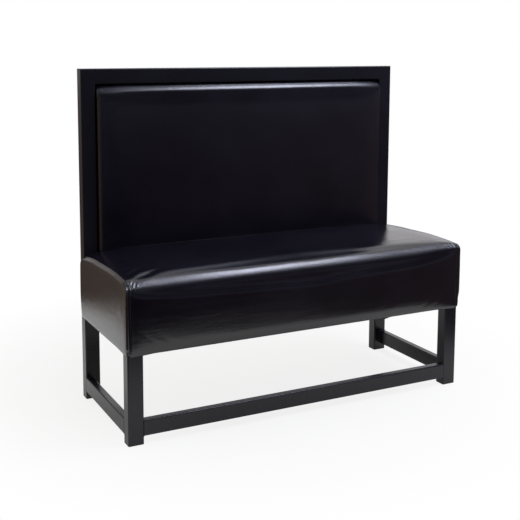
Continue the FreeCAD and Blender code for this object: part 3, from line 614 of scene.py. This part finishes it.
# %% Rolls of the seat: along the front, over the two ends and down the front corners
END_FRONT_ROLL = 0.0400
MIDDLE_FRONT_ROLL = 0.0340
RIGHT_FRONT_ROLL = 0.0180
EXTRA_LEFT_ROLL = 0.0030
LEFT_END_ROLL = 0.0220
RIGHT_END_ROLL = 0.0155
CORNER_ROLL = 0.0050
FOOT_ROLL = 0.0030


def roll_edge(behind, below, radius, sink):
    """Bends a square edge into a roll, in distances behind the front and below the top."""
    sunk = np.clip(np.minimum(behind, below), 0.0, radius * 0.9) * sink
    rest = radius - sunk
    far = np.maximum(behind, below) - sunk
    bend = np.radians(45) * np.clip(1 - far / rest, 0.0, 1.0)
    near_side = sunk + rest - rest * np.cos(bend)
    far_side = np.where(far < rest, sunk + rest - rest * np.sin(bend), far + sunk)
    on_front = below >= behind
    return np.where(on_front, near_side, far_side), np.where(on_front, far_side, near_side)


def on_end_border(middle, run):
    """The top edge of either end."""
    at_end = abs(abs(middle.x) - SEAT_HALF) < 1e-5 and abs(run.x) < 0.1
    return at_end and middle.z > 0.45 and middle.y < SEAT_TAIL - 0.01


def on_corner(middle, run):
    """The upright edges at the front."""
    return abs(run.z) > 0.9 and middle.y < SEAT_FRONT + 0.001


def on_skirt_foot(middle, run):
    """The lowest edge of the front and the ends."""
    return middle.z < SKIRT_FOOT + 1e-5 and abs(run.z) < 0.1 and middle.y < SEAT_TAIL - 0.001


# %% Seat cushion, blocked out and given an even mesh
form = block((-SEAT_HALF, SEAT_FRONT, SKIRT_FOOT), (SEAT_HALF, SEAT_TAIL, BOX_TOP))
round_off(form, LEFT_END_ROLL, 7, lambda middle, run: on_end_border(middle, run) and middle.x < 0)
round_off(form, RIGHT_END_ROLL, 6, lambda middle, run: on_end_border(middle, run) and middle.x > 0)
round_off(form, CORNER_ROLL, 3, on_corner)
round_off(form, FOOT_ROLL, 2, on_skirt_foot)
seat_cushion = to_object(form, "seat_cushion")
even_mesh(seat_cushion, EVEN_SQUARE)
print("seat mesh:", len(seat_cushion.data.vertices), "vertices")

# %% Seat cushion, shaped
FRONT_BELLY = 0.0008
FRONT_TUCK = 0.0024
LEFT_SWELL = 0.0012
RIGHT_SWELL = 0.0045
END_TUCK = 0.0028
RIGHT_OVERHANG = 0.0085
LEFT_CORNER_OVERHANG = 0.0012
SKIRT_DROP_AT_ENDS = 0.0045
RISE_TO_PAD = 0.0044
places = places_of(seat_cushion.data)
x, y, z = places.T
z += ease(z, 0.40, 0.485) * (seat_top(x, y) - BOX_TOP)
from_end = SEAT_HALF - np.abs(x)
from_front = y - SEAT_FRONT
up_skirt = np.clip((z - SKIRT_FOOT) / 0.2, 0.0, 1.0)
belly = np.sin(np.pi * np.clip(up_skirt * 0.86 + 0.10, 0, 1))
tuck = np.clip(1 - (z - SKIRT_FOOT) / 0.034, 0.0, 1.0) ** 2
end_tuck = np.clip(1 - (z - SKIRT_FOOT) / 0.100, 0.0, 1.0) ** 2
on_front = ease(-y, 0.205, 0.226)
y -= on_front * (FRONT_BELLY * (belly - 0.5) * ease(from_end, 0.0, 0.09) - FRONT_TUCK * tuck)
on_end = ease(np.abs(x), 0.600, 0.6125)
end_swell = np.where(x > 0, RIGHT_SWELL, LEFT_SWELL)
behind_corner = ease(from_front, 0.0, 0.09)
x += np.sign(x) * on_end * (end_swell * (belly - 0.2) * behind_corner - END_TUCK * end_tuck)
x += RIGHT_OVERHANG * ease(x, 0.595, 0.612) * ease(z, 0.29, 0.33)
at_corner = np.clip(1 - from_front / 0.032, 0.0, 1.0) ** 2
x += LEFT_CORNER_OVERHANG * ease(-x, 0.604, 0.611) * at_corner
skirt_ends = ease(np.abs(x), 0.50, 0.60) * ease(-z, -0.33, -0.28)
z -= SKIRT_DROP_AT_ENDS * ease(-y, 0.12, 0.225) * skirt_ends
z += RISE_TO_PAD * ease(y, 0.08, 0.168) * ease(z, 0.42, 0.48) * ease(from_end, 0.04, 0.10)
roll = MIDDLE_FRONT_ROLL + EXTRA_LEFT_ROLL * np.exp(-(((x + 0.50) / 0.10) ** 2))
end_roll = np.where(x > 0, RIGHT_FRONT_ROLL, END_FRONT_ROLL)
roll = end_roll + (roll - end_roll) * ease(from_end, 0.008, np.where(x > 0, 0.22, 0.08))
near_roll = (y < SEAT_FRONT + 0.08) & (z > 0.40)
behind, below = roll_edge(y - SEAT_FRONT, seat_top(x, y) - z, roll, ease(-from_end, -0.035, -0.015))
z = np.where(near_roll, seat_top(x, y) - below, z)
y = np.where(near_roll, SEAT_FRONT + behind, y)
places = np.stack((x, y, z), axis=1)
settled = waves(places, 4.5, 11.0) * 0.0014 + waves(places, 13.0, 23.0) * 0.0004
loose = ease(z, 0.285, 0.32) * ease(-y, -0.18, -0.12) * (1 - 0.9 * on_end) * (1 - 0.7 * on_front)
put_places(seat_cushion.data, places + normals_of(seat_cushion.data) * (settled * loose)[:, None])

# %% Seat cushion, blown up
x, y, z = places_of(seat_cushion.data).T
near_foot = ease(-z, -0.290, -0.280)
behind_pad = ease(y, 0.180, 0.192)
on_end_panel = ease(np.abs(x), 0.604, 0.611)
on_corner_edge = ease(np.abs(x), 0.590, 0.605) * ease(-y, 0.205, 0.222)
seat_hold = np.clip(near_foot + behind_pad + 0.8 * on_end_panel + on_corner_edge, 0, 1)
blow_up(seat_cushion, seat_hold, 4.0, 0.0040)
finer(seat_cushion)

# %% Front corners, kept thick enough round the corner of the boards
CORNER_SIDE = 0.6080
CORNER_FRONT = -0.2240
CORNER_SKIN = 0.0058
places = places_of(seat_cushion.data)
out = np.stack((np.abs(places[:, 0]) - CORNER_SIDE, CORNER_FRONT - places[:, 1]), axis=1)
distance = np.linalg.norm(out, axis=1)
thin = (out.min(axis=1) > 0) & (distance < CORNER_SKIN) & (distance > 1e-6)
out[thin] *= (CORNER_SKIN / distance[thin])[:, None]
places[thin, 0] = np.sign(places[thin, 0]) * (CORNER_SIDE + out[thin, 0])
places[thin, 1] = CORNER_FRONT - out[thin, 1]
put_places(seat_cushion.data, places)
print("corner points moved out:", int(thin.sum()), "of", len(places))

# %% [markdown]
# ### Seams of the seat
# The end panels are sewn to the top with the edges turned in, so the seam is a narrow valley with
# a soft lip on each side. The line is measured from the photograph: it runs along the top of the
# end, round the front roll and down the corner to the skirt.

# %% Seam lines of the seat
SEAM_IN = 0.0105
SEAM_IN_ON_TOP = 0.0028
SEAM_AT_ROLL = 0.4975
roll_centre = (SEAT_FRONT + END_FRONT_ROLL, SEAM_AT_ROLL - END_FRONT_ROLL)
seam_side = []
for run in np.linspace(0.1905, roll_centre[0], 60):
    seam_side.append((float(run), float(np.interp(run, seam_run, seam_height)) - 0.0020))
for angle in np.radians(np.linspace(0, 90, 16)[1:]):
    across, above = END_FRONT_ROLL * math.sin(angle), END_FRONT_ROLL * math.cos(angle)
    seam_side.append((roll_centre[0] - across, roll_centre[1] + above))
for height in np.linspace(roll_centre[1], SKIRT_FOOT, 40)[1:]:
    seam_side.append((SEAT_FRONT, float(height)))


def surface_of(piece):
    """A tree that finds the nearest point of a piece's surface."""
    graph = bpy.context.evaluated_depsgraph_get()
    return BVHTree.FromObject(piece, graph)


def seat_seam(side, inward=0.0):
    """Points of one end seam, laid on the cushion's surface, or of a line beside it."""
    skin = surface_of(seat_cushion)
    points = []
    for run, height in seam_side:
        turned = float(ease(-run, 0.196, 0.228))
        across = SEAT_HALF - SEAM_IN_ON_TOP - (SEAM_IN - SEAM_IN_ON_TOP) * turned
        across -= inward * (0.45 + 0.55 * turned)
        above = height + inward * 0.9 * (1 - turned)
        points.append(skin.find_nearest(Vector((side * across, run, above)))[0])
    return points


def distance_to_line(places, line):
    """The distance of each point to a line of points."""
    nearest = np.full(len(places), 1e9)
    for first, second in zip(line, line[1:]):
        start = np.array(first)
        step = np.array(second) - start
        length = float(np.linalg.norm(step))
        if length < 1e-9:
            continue
        share = np.clip((places - start) @ step / length**2, 0, 1)
        gap = np.linalg.norm(places - start - share[:, None] * step, axis=1)
        nearest = np.minimum(nearest, gap)
    return nearest


LIP_PLACE = 0.0065
LIP_WIDTH = 0.003


def carve_seam(piece, line, depth, width, lip):
    """Presses a seam into a piece's skin, with a soft lip on each side of it."""
    places = places_of(piece.data)
    posts = np.array(line)[::4]
    reach = np.min(np.linalg.norm(places[:, None, :] - posts[None, :, :], axis=2), axis=1)
    near = np.flatnonzero(reach < 0.03)
    gap = distance_to_line(places[near], line)
    valley = -depth * np.exp(-((gap / width) ** 2))
    valley += lip * np.exp(-(((gap - LIP_PLACE) / LIP_WIDTH) ** 2))
    places[near] += normals_of(piece.data)[near] * valley[:, None]
    put_places(piece.data, places)


def refine(piece, inside, rounds, smoothing):
    """Divides the mesh of a piece where inside says so, and smooths what it divided."""
    form = bmesh.new()
    form.from_mesh(piece.data)
    for _ in range(rounds):
        chosen = [edge for edge in form.edges if inside(edge.verts[0].co) and inside(edge.verts[1].co)]
        bmesh.ops.subdivide_edges(form, edges=chosen, cuts=1, use_grid_fill=True)
        soft = [vert for vert in form.verts if inside(vert.co)]
        for _ in range(smoothing):
            bmesh.ops.smooth_vert(
                form, verts=soft, factor=0.5, use_axis_x=True, use_axis_y=True, use_axis_z=True
            )
    form.to_mesh(piece.data)
    form.free()
    piece.data.shade_smooth()


def at_front_corner(point):
    """Where the rolls and the seam meet."""
    return abs(point.x) > 0.553 and point.y < -0.172 and point.z > 0.430


def at_gathers(point):
    """The part of the corner that the pleats cover."""
    return abs(point.x) > 0.566 and point.y < -0.190 and point.z > 0.452


for side in (-1, 1):
    carve_seam(seat_cushion, seat_seam(side), 0.0018, 0.0026, 0.0007)
refine(seat_cushion, at_front_corner, 1, 3)
refine(seat_cushion, at_gathers, 1, 2)
print("seam length:", round(sum((a - b).length for a, b in zip(seat_seam(1), seat_seam(1)[1:])), 3))

# %% [markdown]
# ### Gathers at the front corners
# The top panel is a little longer than the end it is sewn to, and the spare length is eased in
# round the roll. It shows as short pleats that fan out from the corner, narrow at the seam and
# wider into the panel, and die away.

# %% Gathers
LOG_PITCH = 0.13
LOG_SPREAD = 15.4
PLEAT_LENGTH = 0.030
PLEATS_AROUND = 0.019
PLEATS_WIDTH = 0.017


def gather(side, strength, seed):
    """Fans short pleats out of a corner, evenly spaced in the logarithm of their distance."""
    places = places_of(seat_cushion.data)
    x, y, z = places.T
    into_panel = SEAT_HALF - x * side - 0.004
    around = -0.2100 - y + np.clip(0.4950 - z, 0.0, 1.0)
    stretched_in = into_panel + 0.35 * around + waves(places, 60.0, seed) * 0.0007
    fanned = np.log1p(LOG_SPREAD * np.clip(stretched_in, 0.0, 1.0))
    pleat = np.cos(2 * np.pi * fanned / LOG_PITCH) * 0.5 + 0.5
    fade = ease(into_panel, 0.002, 0.008) * np.exp(-((np.clip(into_panel, 0, 1) / PLEAT_LENGTH) ** 2))
    fade *= np.exp(-(((around - PLEATS_AROUND) / PLEATS_WIDTH) ** 2)) * (z > 0.44)
    lift = strength * (pleat - 0.5) * fade
    put_places(seat_cushion.data, places + normals_of(seat_cushion.data) * lift[:, None])


gather(-1, 0.0026, 1.0)
gather(1, 0.0010, 2.0)

# %% [markdown]
# ### Room for what the cushion holds
# The cushion was made solid, so the boards, the back frame and the front legs take their space out
# of it, and an opening below leaves a hem. The foot of the back pad presses a shallow groove into
# its top. A boolean with a box does for each, because what fills the space hides the cut.

# %% Cuts in the cushion
HEM = 0.022
BOARD_HALF = 0.6095
BOARD_FRONT = -0.2260
FRAME_HALF = 0.5590
PAST_REAR = 0.2600
PAST_FOOT = 0.2500
PAST_TOP = 0.5600
OVER_HEM = 0.2900


def cut_box(name, low, high):
    """Takes a box out of the cushion."""
    cut_away(seat_cushion, to_object(block(low, high), name))


cut_box("board_space", (-BOARD_HALF, BOARD_FRONT, 0.2785), (BOARD_HALF, PAST_REAR, 0.4130))
cut_box("post_space", (-BOARD_HALF, 0.1908, PAST_FOOT), (BOARD_HALF, PAST_REAR, PAST_TOP))
cut_box("pad_space", (-FRAME_HALF, 0.1690, 0.4970), (FRAME_HALF, PAST_REAR, PAST_TOP))
opening = BOARD_HALF - HEM
cut_box("opening_below", (-opening, BOARD_FRONT + HEM, PAST_FOOT), (opening, PAST_REAR, OVER_HEM))
for side in (-1, 1):
    low, high = sorted((side * FRAME_HALF, side * 0.6098))
    cut_box("leg_space", (low, -0.2262, PAST_FOOT), (high, -0.1850, OVER_HEM))
seat_cushion.data.materials.clear()
seat_cushion.data.materials.append(seat_vinyl)
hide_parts("seat_cover_top", "seat_foam", "seat_wrap_front")
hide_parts("seat_cover_left", "seat_wrap_left", "seat_cover_right", "seat_wrap_right")
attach(seat_cushion, "root")
print("seat cushion:", len(seat_cushion.data.polygons), "faces")

# %% [markdown]
# ## The back pad
# The back is a foam pad on a board, held in the frame with a narrow gap all round. Its vinyl is
# one piece over the top and the foot, with narrow strips sewn in at the sides. The foam is soft
# at its edges, so the face swells like a pillow, full in the middle and a little flatter at the
# foot, which stands in the groove of the cushion.

# %% Back pad
PAD_HALF = 0.5572
PAD_FOOT = 0.4985
PAD_TOP = 1.0570
PAD_MIDDLE = 0.78
PAD_EDGE = 0.1795
PAD_REAR = 0.2215
TOP_ROLL = 0.0250
CORNER_TOP_ROLL = 0.0330
PAD_SWELL = 0.0120
END_FADE = 0.024
TOP_FADE = 0.028
FOOT_FADE = 0.05
CORNER_SET_BACK = 0.0050


def across_the_foot(middle, run):
    """The lower front edge."""
    return middle.y < PAD_EDGE + 1e-5 and abs(run.x) > 0.9 and middle.z < PAD_MIDDLE


def up_the_front(middle, run):
    """The two upright front edges."""
    at_end = abs(abs(middle.x) - PAD_HALF) < 1e-5
    return at_end and middle.y < PAD_EDGE + 0.015 and abs(run.x) < 0.1 and abs(run.y) < 0.99


form = block((-PAD_HALF, PAD_EDGE, PAD_FOOT), (PAD_HALF, PAD_REAR, PAD_TOP))
round_off(form, 0.002, 2, across_the_foot)
round_off(form, 0.004, 3, up_the_front)
back_pad = to_object(form, "back_pad")
even_mesh(back_pad, EVEN_SQUARE)

# %% Back pad, shaped and blown up
places = places_of(back_pad.data)
x, y, z = places.T
in_from_end = PAD_HALF - np.abs(x)
pillow = (1 - np.exp(-in_from_end / END_FADE)) * (1 - np.exp((z - PAD_TOP) / TOP_FADE))
pillow *= 1 - 0.25 * np.exp((PAD_FOOT - z) / FOOT_FADE)
on_face = ease(-y, -0.205, -0.182)
y -= on_face * PAD_SWELL * pillow
end_share = np.exp(-((in_from_end / 0.075) ** 2))
corner_radius = TOP_ROLL + (CORNER_TOP_ROLL - TOP_ROLL) * end_share
below_top = np.clip(PAD_TOP - z, 0.0, 1.0)
front = PAD_EDGE - PAD_SWELL * pillow
behind, below = roll_edge(y - front, below_top, corner_radius, ease(-in_from_end, -0.022, -0.008))
near_top = (below_top < 0.06) & (y - front < 0.04)
y = np.where(near_top, front + behind, y)
z = np.where(near_top, PAD_TOP - below, z)
set_back = CORNER_SET_BACK * np.exp(-in_from_end / 0.022) * np.exp(-below_top / 0.030)
y += set_back * ease(-y, -0.21, -0.19)
places = np.stack((x, y, z), axis=1)
wavy_top = waves(places * np.array([1.0, 0.0, 0.0]), 7.0, 61.0) * 0.0012 * ease(-below_top, -0.04, -0.01)
settled = waves(places, 4.0, 31.0) * 0.0005 + waves(places, 11.0, 43.0) * 0.0003 + wavy_top
loose = ease(-y, -0.200, -0.180)
put_places(back_pad.data, places + normals_of(back_pad.data) * (settled * loose)[:, None])
x, y, z = places_of(back_pad.data).T
in_from_border = np.minimum(PAD_HALF - np.abs(x), np.minimum(z - PAD_FOOT, PAD_TOP - z))
pad_hold = np.clip(ease(y, 0.190, 0.200) + ease(-in_from_border, -0.035, -0.008), 0, 1)
blow_up(back_pad, pad_hold, 4.0, 0.0018)
finer(back_pad)

# %% Seams of the back pad
PAD_SEAM_IN = 0.0035
for side in (-1, 1):
    skin = surface_of(back_pad)
    across = side * (PAD_HALF - PAD_SEAM_IN)
    line = []
    for height in np.linspace(PAD_FOOT + 0.004, PAD_TOP - 0.004, 60):
        line.append(skin.find_nearest(Vector((across, PAD_EDGE, float(height))))[0])
    carve_seam(back_pad, line, 0.0012, 0.0022, 0.0011)
form = block((-0.5537, 0.2100, 0.5088), (0.5537, 0.2600, 1.0522))
cut_away(back_pad, to_object(form, "back_board_space"))
back_pad.data.materials.clear()
back_pad.data.materials.append(back_vinyl)
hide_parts("back_cover", "back_foam", "back_boxing_left", "back_boxing_right")
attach(back_pad, "root")
print("back pad:", len(back_pad.data.polygons), "faces")

# %% [markdown]
# ## Panel and sheets behind and below
# The rear of the back is a thin panel wrapped in vinyl, whose soft edges close the gap to the
# tubes. The rear of the skirt is a plain piece of vinyl stapled to its board, and under the seat a
# thin black dust cloth is stapled all round and sags a little between its edges.

# %% Wrapped rear panel
def slice_at(form, point, normal):
    """Cuts all faces of a form along a plane, and keeps both sides."""
    everything = form.verts[:] + form.edges[:] + form.faces[:]
    bmesh.ops.bisect_plane(form, geom=everything, plane_co=point, plane_no=normal)


form = block((-0.5593, 0.2250, 0.5003), (0.5593, 0.2281, 1.0597))
round_off(form, 0.0012, 3, lambda middle, run: middle.y > 0.228)
rear_panel = to_object(form, "rear_panel_cover")
form = bmesh.new()
form.from_mesh(rear_panel.data)
for across in np.linspace(-0.54, 0.54, 60):
    slice_at(form, (across, 0, 0), (1, 0, 0))
for height in np.linspace(0.515, 1.045, 30):
    slice_at(form, (0, 0, height), (0, 0, 1))
form.to_mesh(rear_panel.data)
form.free()
places = places_of(rear_panel.data)
x, y, z = places.T
inside = np.minimum(FRAME_HALF - np.abs(x), 0.2795 - np.abs(z - PAD_MIDDLE))
y += ease(y, 0.2270, 0.2280) * ease(inside, 0.0, 0.05) * (0.0008 + waves(places, 7.0, 51.0) * 0.0006)
put_places(rear_panel.data, np.stack((x, y, z), axis=1))
rear_panel.data.shade_smooth()
rear_panel.data.materials.append(back_vinyl)
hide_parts("back_rear_panel")
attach(rear_panel, "root")
print("rear panel:", len(rear_panel.data.polygons), "faces")

# %% Sheets
def sheet_form(columns, rows, width, length):
    """A flat grid of the given size, in the XY plane, about the origin."""
    form = bmesh.new()
    bmesh.ops.create_grid(form, x_segments=columns, y_segments=rows, size=0.5)
    bmesh.ops.scale(form, vec=(width, length, 1.0), verts=form.verts)
    return form


def thicken(piece, thickness):
    """Gives a sheet its thickness, made part of the mesh."""
    solid = piece.modifiers.new("thickness", "SOLIDIFY")
    solid.thickness = thickness
    solid.offset = 0.0
    keep_modified(piece)


# %% Dust cloth, with one place at the front where it has worked loose and hangs
SLIVER_PLACE = (0.315, -0.185)
SLIVER_SIZE = (0.055, 0.022)
SLIVER_DROP = 0.017
CLOTH_HEIGHT = 0.2738
CLOTH_SAG = 0.009
form = sheet_form(120, 48, 1.200, 0.440)
dust_sheet = to_object(form, "dust_cloth_sheet")
places = places_of(dust_sheet.data)
x, y, z = places.T
edge = np.minimum(0.600 - np.abs(x), 0.220 - np.abs(y))
pulled = waves(places, 9.0, 3.0) * 0.0016 + waves(places * np.array([1.0, 3.0, 1.0]), 14.0, 7.0) * 0.0010
across = np.exp(-(((x - SLIVER_PLACE[0]) / SLIVER_SIZE[0]) ** 2))
along = np.exp(-(((y - SLIVER_PLACE[1]) / SLIVER_SIZE[1]) ** 2))
hanging = across * along * SLIVER_DROP
z += CLOTH_HEIGHT - ease(edge, 0.0, 0.16) * (CLOTH_SAG + pulled) - hanging * ease(edge, 0.0, 0.02)
y += 0.0018
put_places(dust_sheet.data, np.stack((x, y, z), axis=1))
thicken(dust_sheet, 0.0006)
dust_sheet.data.materials.append(dust_cloth)
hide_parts("dust_cover")
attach(dust_sheet, "root")

# %% Vinyl on the rear of the skirt
SKIRT_REAR = 0.2303
SKIRT_MIDDLE = 0.3620
form = sheet_form(110, 16, 1.118, 0.1755)
rear_skirt = to_object(form, "rear_skirt")
places = places_of(rear_skirt.data)
x, y, z = places.T
ripple = waves(places, 11.0, 5.0) * 0.0005
set_back = SKIRT_REAR + ripple * ease(0.55 - np.abs(x), 0, 0.1)
put_places(rear_skirt.data, np.stack((x, set_back, y + SKIRT_MIDDLE), axis=1))
thicken(rear_skirt, 0.0012)
rear_skirt.data.materials.append(seat_vinyl)
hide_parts("seat_cover_rear")
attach(rear_skirt, "root")
print("sheets:", len(dust_sheet.data.polygons), len(rear_skirt.data.polygons), "faces")

# %% [markdown]
# ## Stitches, staples and welds
# Small repeated things are made once as a simple form and then copied along a line, each turned
# to lie on the surface under it. One mesh holds all copies, so the scene stays light.

# %% Rows of small forms
def laid_on(place, along, away, size):
    """The matrix that sizes, turns and places a small form on a surface."""
    turn = Matrix((along, away.cross(along), away)).transposed().to_4x4()
    return Matrix.Translation(place) @ turn @ Matrix.Diagonal((*size, 1.0))


def spread(line, pitch):
    """Evenly spaced points along a line of points, with the direction of the line at each."""
    points = [Vector(point) for point in line]
    found = []
    walked, due = 0.0, pitch / 2
    for first, second in zip(points, points[1:]):
        length = (second - first).length
        while length > 1e-9 and due <= walked + length:
            share = (due - walked) / length
            found.append((first.lerp(second, share), (second - first).normalized()))
            due += pitch
        walked += length
    return found


def lay_row(form, line, pitch, size, outward, sink=0.0, lean=0.0, rings=6):
    """Adds flattened beads along a line: size is their length, width and height."""
    for place, run in spread(line, pitch):
        away = outward(place)
        along = (run - away * run.dot(away)).normalized()
        beside = away.cross(along)
        along = (along + beside * lean).normalized()
        placed = laid_on(place - away * sink, along, away, size)
        bmesh.ops.create_uvsphere(form, u_segments=rings, v_segments=5, radius=0.5, matrix=placed)


def row_piece(form, name, finish):
    """Turns rows of small forms into a piece that rides on the bench."""
    piece = to_object(form, name)
    piece.data.materials.append(finish)
    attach(piece, "root")
    print(name, len(piece.data.polygons), "faces")


# %% Twin rows of stitches beside the seat seams
STITCH_PITCH = 0.0048
STITCH_SIZE = (0.0036, 0.0009, 0.0009)
FROM_SEAM = 0.0042
skin = surface_of(seat_cushion)


def off_the_cushion(place):
    return skin.find_nearest(place)[1]


form = bmesh.new()
for side in (-1, 1):
    for inward in (-FROM_SEAM, FROM_SEAM):
        line = seat_seam(side, inward)
        lay_row(form, line[:-2], STITCH_PITCH, STITCH_SIZE, off_the_cushion, sink=0.0001, lean=0.08)
row_piece(form, "seat_stitches", thread)

# %% Weld beads where the stretchers meet the legs and the posts
STRETCHER_TOP = 0.0751
STRETCHER_FOOT = 0.0249
form = bmesh.new()


def weld(start, end, outward, size=0.0052):
    """A bead of weld: overlapping ripples along a joint."""
    away = Vector(outward).normalized()
    ripple = (0.0030, size, size * 0.62)
    lay_row(form, [start, end], 0.0019, ripple, lambda place: away, sink=0.0004, rings=8)


for side in (-1, 1):
    inner = side * 0.5595
    weld((inner, -0.2009, 0.0740), (inner, -0.2009, 0.0260), (-side, 1, 0))
    for height, up in ((STRETCHER_TOP, 1), (STRETCHER_FOOT, -1)):
        weld((inner, -0.2250, height), (inner, -0.2015, height), (-side, 0, up))
    for run, face in ((-0.1860, 1), (0.1910, -1)):
        weld((side * 0.5844, run, 0.0740), (side * 0.5844, run, 0.0260), (-side, face, 0))
        for height, up in ((STRETCHER_TOP, 1), (STRETCHER_FOOT, -1)):
            weld((side * 0.6085, run, height), (side * 0.5855, run, height), (0, face, up))
    weld((inner, 0.1925, 1.0599), (inner, 0.2060, 1.0599), (-side, 0, -1), 0.0035)
row_piece(form, "frame_welds", powder_coat)

# %% Ground weld lines across the mitred corners
form = bmesh.new()
for side in (-1, 1):
    for face, away in ((0.1910, (0, -1, 0)), (0.2310, (0, 1, 0))):
        weld((side * 0.5605, face, 1.0610), (side * 0.6065, face, 1.1070), away, 0.0015)
row_piece(form, "mitre_welds", powder_coat)

# %% Staples along the hem and the rear skirt
STAPLE_SIZE = (0.0105, 0.0012, 0.0006)
HEM_HEIGHT = 0.2726
form = bmesh.new()


def staple(place, along, away):
    """The crown of a flattened wire staple. Its ends are in the board and don't show."""
    along, away = Vector(along).normalized(), Vector(away).normalized()
    crown = laid_on(Vector(place) + away * 0.0003, along, away, STAPLE_SIZE)
    made = set(bmesh.ops.create_cube(form, size=1.0, matrix=crown)["verts"])
    bevel(form, [edge for edge in form.edges if made.issuperset(edge.verts)], 0.00022, 1)


for spot in np.arange(-0.53, 0.531, 0.053):
    staple((float(spot), -0.2140, HEM_HEIGHT), (1, 0.25, 0), (0, 0, -1))
    staple((float(spot), 0.2316, 0.4400), (1, 0, 0.1), (0, 1, 0))
for side in (-1, 1):
    for spot in np.arange(-0.16, 0.17, 0.055):
        staple((side * 0.5960, float(spot), HEM_HEIGHT), (0.2, 1, 0), (0, 0, -1))
row_piece(form, "staples", screw_zinc)

# %% [markdown]
# ## Picture settings

# %% Picture settings
bpy.context.scene.view_settings.view_transform = "Standard"
